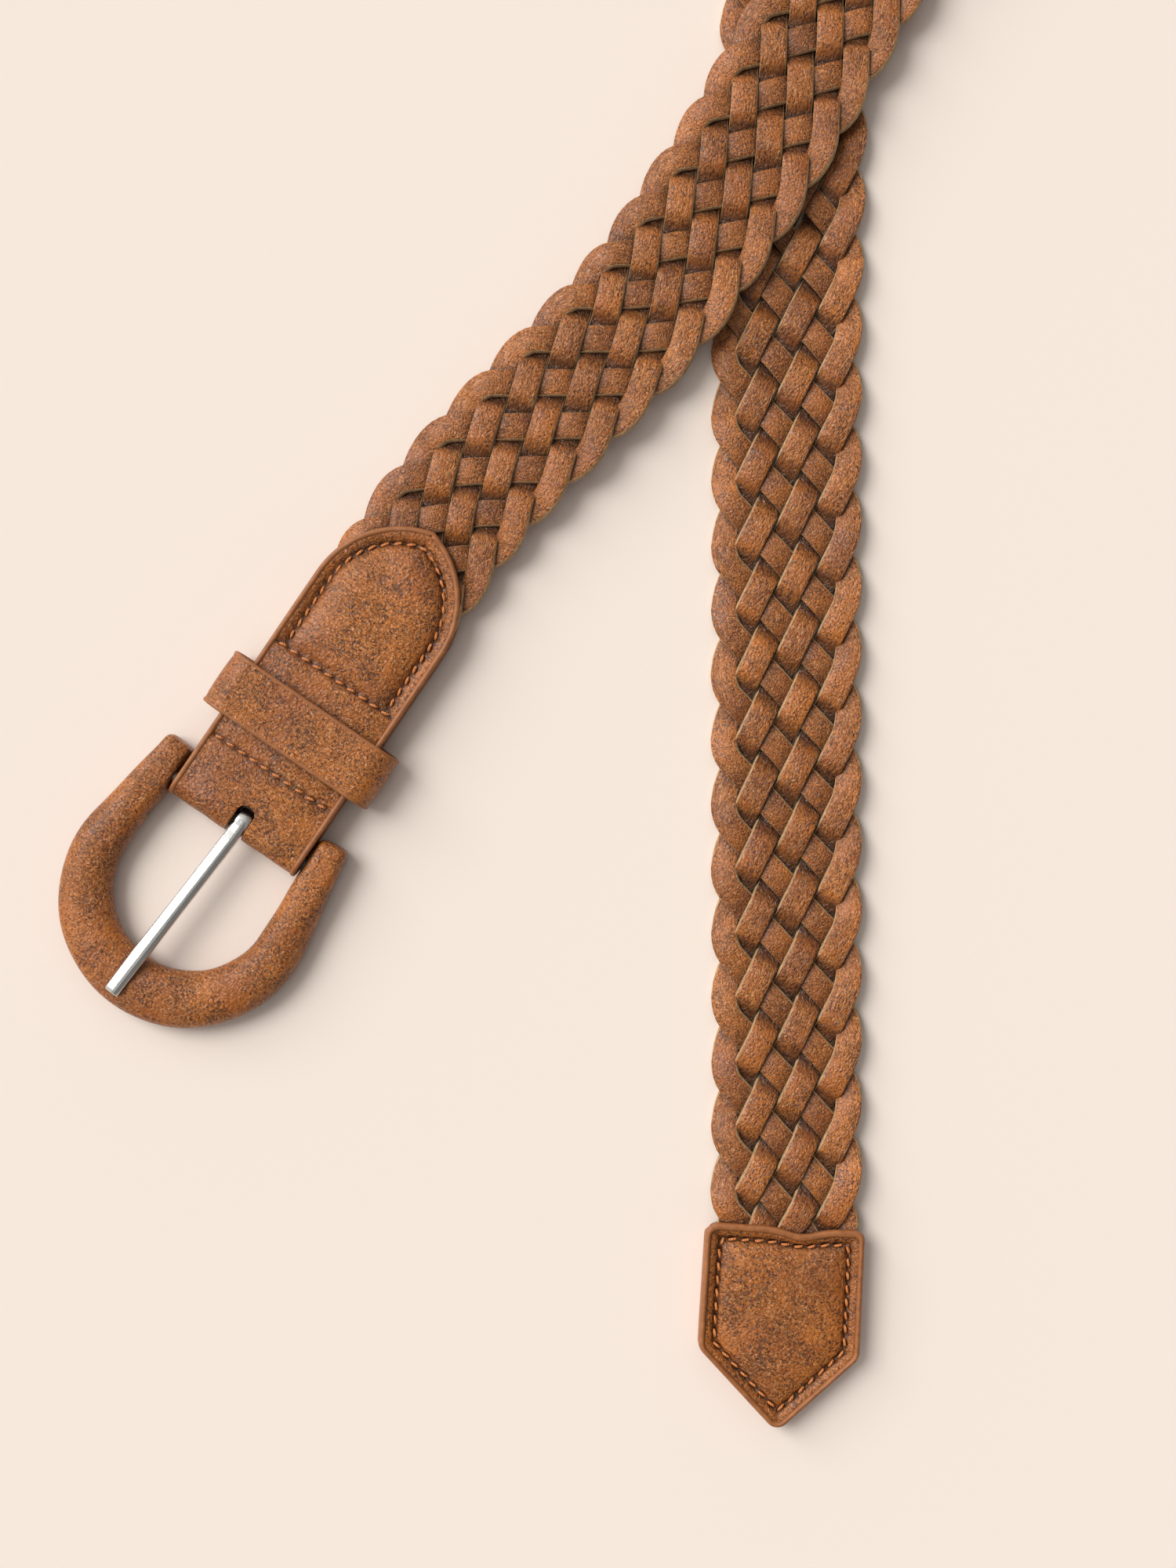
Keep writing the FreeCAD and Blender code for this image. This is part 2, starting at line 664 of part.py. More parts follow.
def section_corners(section):
    """The four corners of a strand's cross-section, in place on the table."""
    position, across, up, heading = section
    wide = size["strand_wide"] / 2
    thick = size["strand_thick"] / 2
    corners = []
    for side, level in ((1, 1), (-1, 1), (-1, -1), (1, -1)):
        x = position - side * wide * math.sin(heading)
        y = across + side * wide * math.cos(heading)
        corners.append(place(x, y, up + level * thick))
    return corners


def triangle(a, b, c):
    return Part.Face(Part.makePolygon([a, b, c, a]))


def make_strand(number):
    """One strand of the flat braid, woven over and under the six others."""
    inside = []
    for section in strand_sections(number):
        reach = size["strand_wide"] / 2 * abs(math.sin(section[3]))
        if section[0] - reach > 0 and section[0] + reach < BRAID_LONG:
            inside.append(section_corners(section))
    faces = []
    for one, two in zip(inside, inside[1:]):
        for side in range(4):
            after = (side + 1) % 4
            faces.append(triangle(one[side], two[side], two[after]))
            faces.append(triangle(one[side], two[after], one[after]))
    for end in (inside[0], inside[-1]):
        faces.append(triangle(end[0], end[1], end[2]))
        faces.append(triangle(end[0], end[2], end[3]))
    shell = Part.makeShell(faces)
    shell.sewShape()
    solid = Part.makeSolid(shell)
    if solid.Volume < 0:
        solid.reverse()
    return feature_of("strand_%d" % number, solid)


# ------------------------------------------------------------ tip
def tip_outline(inset, top_inset=None):
    """The tip from above, its own Y pointing away from the belt's end, point at the origin."""
    half = size["tip_width"] / 2 - inset
    shoulder = size["tip_shoulder"]
    slope = math.atan2(shoulder, size["tip_width"] / 2)
    drop = inset / math.cos(slope)
    corner = drop + half * math.tan(slope)
    top = size["tip_long"] - (inset if top_inset is None else top_inset)
    return [(0, drop), (half, corner), (half, top), (-half, top), (-half, corner)]


def tip_placement():
    lean = FreeCAD.Rotation(V(0, 0, 1), size["tip_lean"])
    return FreeCAD.Placement(V(size["tip_x"], size["tip_y"], TABLE), lean)


def tip_plate(name, low, length, inset):
    body = new_body(name)
    outline = sketch_on(body, "XY_Plane", name + "_outline", low)
    add_lines(outline, tip_outline(inset, 0.0))
    body.Tip = pad(body, outline, name + "_plate", length)
    body.Placement = tip_placement()
    return body


def make_tip():
    """Back leather, front leather, padding, painted edge and seam of the pointed tip."""
    top = size["tip_thick"]
    edge = size["edge_width"] + 0.3
    back = tip_plate("tip_back", 0.0, "sizes.leather", edge)
    front = tip_plate("tip_front", top - LEATHER, "sizes.leather", edge)
    padding = new_body("tip_padding")
    outline = sketch_on(padding, "XY_Plane", "tip_padding_outline", top - LEATHER - CLEAR - 0.9)
    add_lines(outline, tip_outline(4.6))
    padding.Tip = pad(padding, outline, "tip_padding_plate", "0.9")
    padding.Placement = tip_placement()
    rim = new_body("tip_edge")
    rim_sketch = sketch_on(rim, "XY_Plane", "tip_edge_outline")
    outer = tip_outline(0.0)
    inner = tip_outline(edge, 0.0)
    add_lines_open(rim_sketch, [outer[2], outer[1], outer[0], outer[4], outer[3],
                                inner[3], inner[4], inner[0], inner[1], inner[2], outer[2]])
    rim.Tip = pad(rim, rim_sketch, "tip_edge_wall", "sizes.tip_thick + sizes.edge_proud")
    rim.Placement = tip_placement()
    seam = []
    corners = tip_outline(3.8)
    for start, end in zip(corners, corners[1:] + corners[:1]):
        seam += stitch_line(start, end, top)
    stitches = feature_of("tip_stitches", Part.makeCompound(seam))
    stitches.Placement = tip_placement()
    return [back, front, padding, rim, stitches]


# ------------------------------------------------------------ build, check and write
make_tab_leather()
make_tab_edge()
make_tab_padding()
make_tab_stitches()
make_buckle()
make_prong()
make_keeper()
for number in range(1, 8):
    make_strand(number)
make_tip()
doc.recompute()

NODES = ["tab_leather", "tab_edge", "tab_padding", "tab_stitches_lower", "tab_stitches_upper",
         "tab_stitches_arch", "buckle_frame", "buckle_cover", "prong", "keeper"]
NODES += ["strand_%d" % number for number in range(1, 8)]
NODES += ["tip_back", "tip_front", "tip_padding", "tip_edge", "tip_stitches"]

for item in doc.Objects:
    if "Invalid" in item.State or "Error" in item.State:
        raise RuntimeError("%s failed: %s" % (item.Label, item.State))

os.makedirs("parts", exist_ok=True)
for name in NODES:
    shape = doc.getObjectsByLabel(name)[0].Shape
    if shape.isNull() or not shape.isValid():
        raise RuntimeError("%s has no valid shape" % name)
    shape.exportStep("parts/%s.step" % name)
    box = shape.BoundBox
    print("%-20s %8.1f mm3  solids %3d  x %.1f %.1f  y %.1f %.1f  z %.2f %.2f" % (
        name, shape.Volume, len(shape.Solids), box.XMin, box.XMax, box.YMin, box.YMax, box.ZMin, box.ZMax))
print("braid %.1f mm, crossing at %.1f mm, loop %.1f mm" % (BRAID_LONG, CROSS_AT, LOOP_LONG))
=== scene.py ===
import math
import bpy
import numpy as np
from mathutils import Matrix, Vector


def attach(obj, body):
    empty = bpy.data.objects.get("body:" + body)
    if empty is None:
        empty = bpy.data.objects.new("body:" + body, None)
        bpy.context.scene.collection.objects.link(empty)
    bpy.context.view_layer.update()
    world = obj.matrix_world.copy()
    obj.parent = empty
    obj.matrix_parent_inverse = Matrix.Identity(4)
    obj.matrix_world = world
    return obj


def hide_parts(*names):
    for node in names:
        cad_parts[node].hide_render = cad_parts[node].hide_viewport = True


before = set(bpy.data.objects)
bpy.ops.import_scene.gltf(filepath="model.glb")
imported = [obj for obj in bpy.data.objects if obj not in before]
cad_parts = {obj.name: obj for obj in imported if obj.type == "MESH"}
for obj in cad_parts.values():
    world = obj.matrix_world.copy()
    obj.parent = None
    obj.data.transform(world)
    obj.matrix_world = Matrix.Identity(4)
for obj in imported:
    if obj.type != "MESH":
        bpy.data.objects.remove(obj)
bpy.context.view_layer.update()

# A tan braided leather belt on a pale table. Sizes below are in millimetres;
# every mesh is scaled to metres when it is made.

MM = 0.001

# ------------------------------------------------------------ sizes shared with the frame
TABLE = -2.1
TAB_TOP = 7.6
BAR_Y = -40.0
BAR_Z = TAB_TOP / 2
TAB_HALF = 18.3
ARCH_Y = 20.0
ARCH_RADIUS = 23.3
LEATHER = 1.2
PRONG_X = 0.9
PRONG_LEAN = 3.4
SLOT_X = PRONG_X - 0.3
SLOT_HALF = 2.3
SLOT_TOP = BAR_Y + 4.2
SLOT_BOTTOM = BAR_Y - 9.0
SEAM_INSET = 3.8
LOWER_SEAM = -26.0
UPPER_SEAM = 0.9
STITCH_PITCH = 3.2
STITCH_SLANT = 0.22
THREAD_RADIUS = 0.36
THREAD_SINK = 0.30
EDGE_ROLL_WIDE = 0.72
EDGE_ROLL_TALL = 0.80

RIM_LOW = -2.0
RIM_THICK = 8.8
KEEPER_Y = -13.8
KEEPER_LONG = 14.3
KEEPER_WIDE = 47.3
KEEPER_TOP = TAB_TOP + 0.42 + 0.5 + 1.6
KEEPER_CORNER = 5.6

BRAID_HALF = 17.3
BRAID_PITCH = 14.6
TIP_PITCH = 15.6
TIP_SHIFT = 11.3
BRAID_START = 14.1
BRAID_SKEW = 0.488
TURN_RADIUS = 11.0
RISE_MIDDLE = 0.95
RISE_CHANGE = 0.35
STRAND_WIDE = 6.35
STRAND_THICK = 1.9
BRAID_THICK = 4.5
CORNER_ROLL = 0.26
SIDE_SLOPE = 0.07
RAW_EDGE_FROM = 0.93

TIP_POINT = (189.0, -89.6)
TIP_LEAN = 31.2
TIP_HALF = 19.5
TIP_LONG = 49.8
TIP_SHOULDER = 18.8
TIP_CORNERS = [(0.4, 0.0), (TIP_HALF, TIP_SHOULDER), (TIP_HALF - 0.2, TIP_LONG - 0.2),
               (-TIP_HALF + 0.3, TIP_LONG), (-TIP_HALF, TIP_SHOULDER + 0.6)]
TIP_RADII = [3.2, 4.0, 2.6, 3.4, 4.0]
TIP_BORDER = 5.40
TIP_THREAD_LEVEL = 5.5
OVERLAP = BRAID_THICK + 0.1

# The photo's view: how far the belt's Y axis is turned in it, and what the camera sees.
PHOTO_TURN = math.radians(34.2)
VIEW_CENTRE = (64.2, 14.2)
VIEW_DISTANCE = 560.0
VIEW_HEIGHT = 378.8


# ------------------------------------------------------------ the belt's course over the table
def heading_vector(angle):
    """A unit vector at an angle in degrees, counted left from Y."""
    turn = math.radians(angle)
    return np.array([-math.sin(turn), math.cos(turn)])


def along_piece(point, angle, length, turn, distance):
    """Point and heading at a distance along a straight or curved piece."""
    if turn == 0:
        return point + heading_vector(angle) * distance, angle
    swept = turn * distance / length
    radius = length / math.radians(turn)
    chord = 2 * radius * math.sin(math.radians(swept) / 2)
    return point + heading_vector(angle + swept / 2) * chord, angle + swept


def walk(start, angle, pieces):
    """Follow (length, turn) pieces; returns where each starts, and the end."""
    stations = []
    point = np.array(start, float)
    for length, turn in pieces:
        stations.append((point, angle, length, turn))
        point = along_piece(point, angle, length, turn, length)[0]
        angle += turn
    return stations, point, angle


def belt_course():
    """Buckle leg, teardrop loop and tip leg."""
    leg = [(66, 0), (30, -10), (38, 0), (26, 10), (14, 0), (30, 5)]
    first, leg_end, leg_angle = walk((0, -28.0), 0, leg)
    back = [(TIP_LONG + 2, 0), (16, 3.0), (182, 0), (38, -1.8)]
    tip_leg_end, tip_angle = walk(TIP_POINT, TIP_LEAN, back)[1:]
    ahead = heading_vector(leg_angle)
    other = heading_vector(tip_angle)
    gap = tip_leg_end - leg_end
    cross = ahead[0] * other[1] - ahead[1] * other[0]
    to_cross = (gap[0] * other[1] - gap[1] * other[0]) / cross
    from_cross = (gap[0] * ahead[1] - gap[1] * ahead[0]) / cross
    between = tip_angle - leg_angle
    half = math.radians(between / 2)
    end, side, side_turn = 30.0, 120.0, 30.0
    swing = math.radians(side_turn) - half
    bulge = side * (math.cos(half) - math.cos(swing))
    straight = (end * math.cos(swing) + bulge) / math.sin(half)
    end_turn = 180 + between - 2 * side_turn
    side_long = side * math.radians(side_turn)
    loop = [
        (to_cross + straight, 0),
        (side_long, side_turn),
        (end * math.radians(end_turn), end_turn),
        (side_long, side_turn),
        (straight + from_cross, 0),
    ]
    loop_way, loop_end, loop_angle = walk(leg_end, leg_angle, loop)
    down = [(38, 1.8), (182, 0), (16, -3.0), (TIP_LONG + 2, 0)]
    down_way = walk(loop_end, loop_angle, down)[0]
    cross_at = sum(piece[0] for piece in leg) + to_cross
    loop_long = 2 * straight + sum(piece[0] for piece in loop[1:4])
    return first + loop_way + down_way, cross_at, loop_long


COURSE, CROSS_AT, LOOP_LONG = belt_course()
COURSE_LONG = sum(piece[2] for piece in COURSE)
BRAID_LONG = COURSE_LONG - TIP_SHOULDER - 3.0


def course_at(distance):
    """Point and heading at a distance along the belt."""
    for point, angle, length, turn in COURSE:
        if distance <= length:
            return along_piece(point, angle, length, turn, distance)
        distance -= length
    point, angle, length, turn = COURSE[-1]
    return along_piece(point, angle, length, turn, length + distance)


def ease(value, low, high):
    """0 below low, 1 above high, smooth between."""
    share = np.clip((value - low) / (high - low), 0.0, 1.0)
    return share * share * (3 - 2 * share)


def twist_at(distance):
    """Flat, then on edge round the loop, then flat again with the same face up."""
    loop_end = CROSS_AT + LOOP_LONG
    rising = ease(distance, CROSS_AT + 45, CROSS_AT + 165)
    falling = ease(distance, loop_end - 165, loop_end - 45)
    return math.radians(90 * (rising - falling))


def height_at(distance):
    """Height of the braid's middle."""
    twist = twist_at(distance)
    edge_reach = BRAID_HALF + 0.4
    low = BRAID_THICK / 2 + 0.05
    standing = edge_reach * abs(math.sin(twist)) + low * abs(math.cos(twist))
    in_tab = LEATHER - TABLE
    lift = in_tab + (OVERLAP - in_tab) * ease(distance, 74, 118)
    lift *= 1 - ease(distance, CROSS_AT + 60, CROSS_AT + 130)
    tip_start = COURSE_LONG - TIP_LONG
    tip_lift = LEATHER * ease(distance, tip_start - 26, tip_start - 4)
    return TABLE + standing + lift + tip_lift


def place(distance, across, up):
    """A point of the braid: distance along it, across it and above its middle."""
    point, angle = course_at(distance)
    twist = twist_at(distance)
    out_of_tab = ease(distance, 40, 60)
    tip_start = COURSE_LONG - TIP_LONG
    squeeze = 0.88 + 0.12 * out_of_tab - 0.14 * ease(distance, tip_start - 2, tip_start + 6)
    up *= 0.72 + 0.28 * out_of_tab - 0.38 * ease(distance, tip_start - 5, tip_start + 3)
    left = np.array([-math.cos(math.radians(angle)), -math.sin(math.radians(angle)), 0.0])
    up_axis = np.array([0.0, 0.0, 1.0])
    wide = left * math.cos(twist) + up_axis * math.sin(twist)
    out = up_axis * math.cos(twist) - left * math.sin(twist)
    middle = np.array([point[0], point[1], height_at(distance)])
    found = middle + wide * (across * squeeze) + out * up
    found[2] = max(found[2], TABLE + 0.02)
    return found


def stretched(nominal):
    """Belt length of a braid position: the pitch grows slowly between the two legs."""
    growth = TIP_PITCH / BRAID_PITCH - 1
    low = CROSS_AT
    high = CROSS_AT + LOOP_LONG
    if nominal < low:
        return nominal
    slack = TIP_SHIFT * ease(nominal, low, high)
    if nominal < high:
        return nominal + growth * (nominal - low) ** 2 / (2 * (high - low)) + slack
    return nominal + growth * (nominal - (low + high) / 2) + slack


def lean_at(nominal):
    """How the braid leans: 1 near the buckle, -1 near the tip."""
    return 1 - 2 * ease(nominal, CROSS_AT, CROSS_AT + LOOP_LONG)


# ------------------------------------------------------------ mesh helpers
def finish_mesh(name, verts, faces, face_slots=None):
    """A smooth-shaded piece from points in millimetres."""
    mesh = bpy.data.meshes.new(name)
    mesh.from_pydata([tuple(v) for v in np.asarray(verts, float) * MM], [], faces)
    if face_slots is not None:
        mesh.polygons.foreach_set("material_index", face_slots)
    mesh.polygons.foreach_set("use_smooth", [True] * len(mesh.polygons))
    mesh.update()
    piece = bpy.data.objects.new(name, mesh)
    bpy.context.scene.collection.objects.link(piece)
    return piece


def tube_faces(rows, cols, closed_rows=False, first=0):
    """Quads of a tube made of rows of cols points each, and its end caps."""
    faces = []
    last = rows if closed_rows else rows - 1
    for row in range(last):
        here = first + row * cols
        there = first + ((row + 1) % rows) * cols
        for col in range(cols):
            after = (col + 1) % cols
            faces.append((here + col, here + after, there + after, there + col))
    if not closed_rows:
        faces.append(tuple(first + col for col in reversed(range(cols))))
        faces.append(tuple(first + (rows - 1) * cols + col for col in range(cols)))
    return faces


def tube(name, rings, slots=None, closed_rows=False, cap_slot=0):
    """A closed solid from rings of points; slots gives each ring segment's material."""
    rings = np.asarray(rings, float)
    rows, cols = rings.shape[:2]
    faces = tube_faces(rows, cols, closed_rows)
    face_slots = None
    if slots is not None:
        spans = rows if closed_rows else rows - 1
        face_slots = [slots[col] for _ in range(spans) for col in range(cols)]
        if not closed_rows:
            face_slots += [cap_slot, cap_slot]
    return finish_mesh(name, rings.reshape(-1, 3), faces, face_slots)


def store_painted_shade(piece, values):
    """Stores how much painted shade darkens each point, from 0 to 1, as the "seam" attribute that the
    leather reads.
    """
    layer = piece.data.attributes.new("seam", "FLOAT", "POINT")
    layer.data.foreach_set("value", np.asarray(values, np.float32))


def dress(piece, body, slot, materials, *replaced):
    """Gives a piece its materials, and says its body and the CAD nodes it replaces; slot is not used.
    """
    for material in materials:
        piece.data.materials.append(MATERIALS[material])
    if replaced:
        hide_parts(*replaced)
    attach(piece, body)


def squircle(angle, power_wide, power_tall):
    """A point of a unit circle, squared off where the powers are under 1."""
    c, s = math.cos(angle), math.sin(angle)
    return math.copysign(abs(c) ** power_wide, c), math.copysign(abs(s) ** power_tall, s)


def wobble(seed, position, reach):
    """A slow, repeatable wander along a length."""
    total = 0.0
    for turn, (wave, share) in enumerate(((37.0, 0.5), (23.0, 0.3), (11.3, 0.2))):
        total += share * math.sin(2 * math.pi * position / wave + seed * (2.1 + 1.7 * turn))
    return reach * total


# ------------------------------------------------------------ braid
HALF_PROFILE = [(0.0, 1.20), (0.40, 1.13), (0.72, 0.99), (0.87, 0.86), (0.94, 0.76), (0.98, 0.54),
                (1.0, 0.0)]


def strand_profile():
    """Points round a strand's section, and 1 for each span that is raw cut edge."""
    top_right = HALF_PROFILE[1:]
    lower_right = [(x, -y) for x, y in reversed(HALF_PROFILE[:-1])]
    right = top_right + lower_right
    left = [(-x, y) for x, y in reversed(right[:-1])]
    points = [HALF_PROFILE[0]] + right + left
    spans = len(points)
    raw = []
    for index in range(spans):
        here, after = points[index], points[(index + 1) % spans]
        raw.append(1 if min(abs(here[0]), abs(after[0])) > RAW_EDGE_FROM else 0)
    return points, raw


PROFILE, PROFILE_SLOTS = strand_profile()


def corner_point(x, y, incoming, outgoing, back, share):
    """A point and its heading on the round turn between two straight runs."""
    start_x = x - back * math.cos(incoming)
    start_y = y - back * math.sin(incoming)
    swept = (outgoing - incoming) * share
    chord = 2 * TURN_RADIUS * math.sin(abs(swept) / 2)
    direction = incoming + swept / 2
    return (start_x + chord * math.cos(direction), start_y + chord * math.sin(direction),
            incoming + swept)


RUN = 3.5 * BRAID_PITCH
SLOPE = math.atan2(2 * BRAID_HALF, RUN)
RUN_LONG = math.hypot(RUN, 2 * BRAID_HALF)
TURN_BACK = TURN_RADIUS * math.tan(SLOPE)
TURN_LONG = TURN_RADIUS * 2 * SLOPE
LAP_LONG = 2 * (RUN_LONG - 2 * TURN_BACK + TURN_LONG)


def plan_at(along, right):
    """(position, across, heading) on the upright braid, a lap starting at a right-hand corner."""
    if along < TURN_LONG / 2:
        return corner_point(right, -BRAID_HALF, -SLOPE, SLOPE, TURN_BACK, 0.5 + along / TURN_LONG)
    along -= TURN_LONG / 2
    straight = RUN_LONG - 2 * TURN_BACK
    if along < straight:
        reach = TURN_BACK + along
        return right + reach * math.cos(SLOPE), -BRAID_HALF + reach * math.sin(SLOPE), SLOPE
    along -= straight
    left = right + RUN
    if along < TURN_LONG:
        return corner_point(left, BRAID_HALF, SLOPE, -SLOPE, TURN_BACK, along / TURN_LONG)
    along -= TURN_LONG
    if along < straight:
        reach = TURN_BACK + along
        return left + reach * math.cos(SLOPE), BRAID_HALF - reach * math.sin(SLOPE), -SLOPE
    along -= straight
    return corner_point(right + 2 * RUN, -BRAID_HALF, -SLOPE, SLOPE, TURN_BACK, along / TURN_LONG)


def level_at(along, lean):
    """Height of a strand within a lap: over and under the others in turn.

    The steeper runs stay flat for longer at each crossing and rise higher.
    """
    half_lap = LAP_LONG / 2
    second = along >= half_lap
    local = along - half_lap if second else along
    tilt = -lean if second else lean
    rise = RISE_MIDDLE + RISE_CHANGE * tilt
    other = RISE_MIDDLE - RISE_CHANGE * tilt
    flat = 2.0 + 1.0 * tilt
    shift = TURN_LONG / 2 - TURN_BACK
    spots = [shift + RUN_LONG * meeting / 7 for meeting in range(1, 7)]
    levels = [(-shift - RUN_LONG / 7 + 1.0, -other)]
    for index, spot in enumerate(spots):
        up = rise if index % 2 == 0 else -rise
        levels += [(spot - flat, up), (spot + flat, up)]
    levels.append((half_lap + shift + RUN_LONG / 7 - 1.0, other))
    for (low, below), (high, above) in zip(levels, levels[1:]):
        if local <= high:
            return below + (above - below) * ease(local, low, high)
    return levels[-1][1]


def strand_track(number):
    """(position, across, up, heading, roll, shear, length) along one strand, finely stepped."""
    first = BRAID_START + (number - 8) * BRAID_PITCH
    steps = 84
    track = []
    for lap in range(int(BRAID_LONG / (2 * RUN)) + 3):
        for step in range(steps):
            along = LAP_LONG * step / steps
            x, y, heading = plan_at(along, first + lap * 2 * RUN)
            lean = lean_at(x)
            skew = BRAID_SKEW * lean
            turned = math.atan2(math.sin(heading), math.cos(heading) + skew * math.sin(heading))
            near_left = math.exp(-((along - LAP_LONG / 2) / 6.5) ** 2)
            near_right = math.exp(-(min(along, LAP_LONG - along) / 6.5) ** 2)
            roll = CORNER_ROLL * lean * (near_left + near_right)
            shear = SIDE_SLOPE * (lean if along < LAP_LONG / 2 else 1.0)
            position = stretched(x) + skew * y
            length = lap * LAP_LONG + along
            track.append((position, y, level_at(along, lean), turned, roll, shear, length))
    return track


def make_strand(number):
    """One whole strand, with painted shade where it dives under the others in the middle of the braid.
    """
    rings = []
    layings = []
    shades = []
    wide = STRAND_WIDE / 2
    thick = STRAND_THICK / 2
    for x, y, up, heading, roll, shear, length in strand_track(number):
        reach = wide * abs(math.sin(heading))
        if x - reach <= 0 or x + reach >= BRAID_LONG:
            continue
        up += wobble(number * 1.3, length, 0.06)
        y += wobble(number * 2.7 + 1, length, 0.12)
        broad = wide * (1 + wobble(number * 3.1 + 2, length, 0.02))
        # Painted shade: the strand is darkened where it dives under the others, less near the braid's
        # edges.
        dive = min(max(0.5 - up / (2 * RISE_MIDDLE), 0.0), 1.0)
        dive *= 1 - float(ease(abs(y), BRAID_HALF - 6.5, BRAID_HALF - 2.5))
        c, s = math.cos(roll), math.sin(roll)
        ring = []
        for side, level in PROFILE:
            wide_of = side * broad + shear * level * wide
            sideways = wide_of * c + level * thick * s
            upward = level * thick * c - wide_of * s
            across = y + sideways * math.cos(heading)
            position = x - sideways * math.sin(heading)
            ring.append(place(position, across, up + upward))
            layings.append((length, side * wide, number * 53.0 + level))
            shades.append(0.9 * dive)
        rings.append(ring)
    strand = tube("braid_strand_%d" % number, rings, PROFILE_SLOTS, cap_slot=1)
    lay = strand.data.attributes.new("lay", "FLOAT_VECTOR", "POINT")
    lay.data.foreach_set("vector", np.asarray(layings, np.float32).reshape(-1))
    store_painted_shade(strand, shades)
    dress(strand, "strap", "braid_leather", ["braid", "raw_edge"], "strand_%d" % number)


# ------------------------------------------------------------ materials
class Nodes:
    """Short names for building a node material."""

    def __init__(self, name):
        self.material = bpy.data.materials.new(name)
        self.material.use_nodes = True
        self.tree = self.material.node_tree
        self.shader = self.tree.nodes["Principled BSDF"]

    def add(self, kind, **settings):
        node = self.tree.nodes.new(kind)
        for key, value in settings.items():
            setattr(node, key, value)
        return node

    def link(self, source, target):
        self.tree.links.new(source, target)

    def put(self, target, value):
        """A socket is linked, anything else is set."""
        if isinstance(value, bpy.types.NodeSocket):
            self.link(value, target)
        else:
            target.default_value = value

    def math(self, operation, first, second=0.0):
        node = self.add("ShaderNodeMath", operation=operation)
        self.put(node.inputs[0], first)
        self.put(node.inputs[1], second)
        return node.outputs[0]

    def noise(self, vector, scale, detail, rough=0.55, distort=0.0, output="Fac"):
        node = self.add("ShaderNodeTexNoise")
        self.link(vector, node.inputs["Vector"])
        node.inputs["Scale"].default_value = scale
        node.inputs["Detail"].default_value = detail
        node.inputs["Roughness"].default_value = rough
        node.inputs["Distortion"].default_value = distort
        return node.outputs[output]

    def cells(self, vector, scale, feature):
        node = self.add("ShaderNodeTexVoronoi", feature=feature)
        self.link(vector, node.inputs["Vector"])
        node.inputs["Scale"].default_value = scale
        return node.outputs["Distance"]

    def ramp(self, factor, stops):
        """Stops are (position, grey or colour)."""
        node = self.add("ShaderNodeValToRGB")
        self.link(factor, node.inputs[0])
        ramp = node.color_ramp
        while len(ramp.elements) < len(stops):
            ramp.elements.new(0.5)
        for element, (position, value) in zip(ramp.elements, stops):
            element.position = position
            colour = value if isinstance(value, tuple) else (value,) * 3
            element.color = (*colour, 1)
        return node.outputs[0]

    def mix(self, factor, first, second):
        node = self.add("ShaderNodeMix", data_type="RGBA")
        self.put(node.inputs[0], factor)
        for place_of, colour in ((6, first), (7, second)):
            is_socket = isinstance(colour, bpy.types.NodeSocket)
            self.put(node.inputs[place_of], colour if is_socket else (*colour, 1))
        return node.outputs[2]

    def vector_mix(self, operation, first, second):
        node = self.add("ShaderNodeVectorMath", operation=operation)
        self.put(node.inputs[0], first)
        self.put(node.inputs[1], second)
        return node.outputs[0]

    def bump(self, height, distance, strength, normal=None):
        node = self.add("ShaderNodeBump")
        node.inputs["Strength"].default_value = strength
        node.inputs["Distance"].default_value = distance * MM
        self.link(height, node.inputs["Height"])
        if normal is not None:
            self.link(normal, node.inputs["Normal"])
        return node.outputs[0]

    def stored(self, attribute, output):
        reader = self.add("ShaderNodeAttribute", attribute_type="GEOMETRY", attribute_name=attribute)
        return reader.outputs[output]

    def finish(self, inputs):
        """Links or sets the shader's named inputs, and gives the material."""
        for name, value in inputs.items():
            self.put(self.shader.inputs[name], value)
        return self.material


def srgb(red, green, blue):
    """A display colour, 0 to 255, as linear light."""
    linear = []
    for value in (red, green, blue):
        share = value / 255
        linear.append(share / 12.92 if share <= 0.04045 else ((share + 0.055) / 1.055) ** 2.4)
    return tuple(linear)


def millimetres(nodes, attribute=None):
    """Coordinates in millimetres: the object's own, or a stored attribute."""
    if attribute:
        return nodes.stored(attribute, "Vector")
    coordinates = nodes.add("ShaderNodeTexCoord")
    return nodes.vector_mix("MULTIPLY", coordinates.outputs["Object"], (1000, 1000, 1000))


FOLD_LIE = 35.0  # degrees that the leather's folds are turned


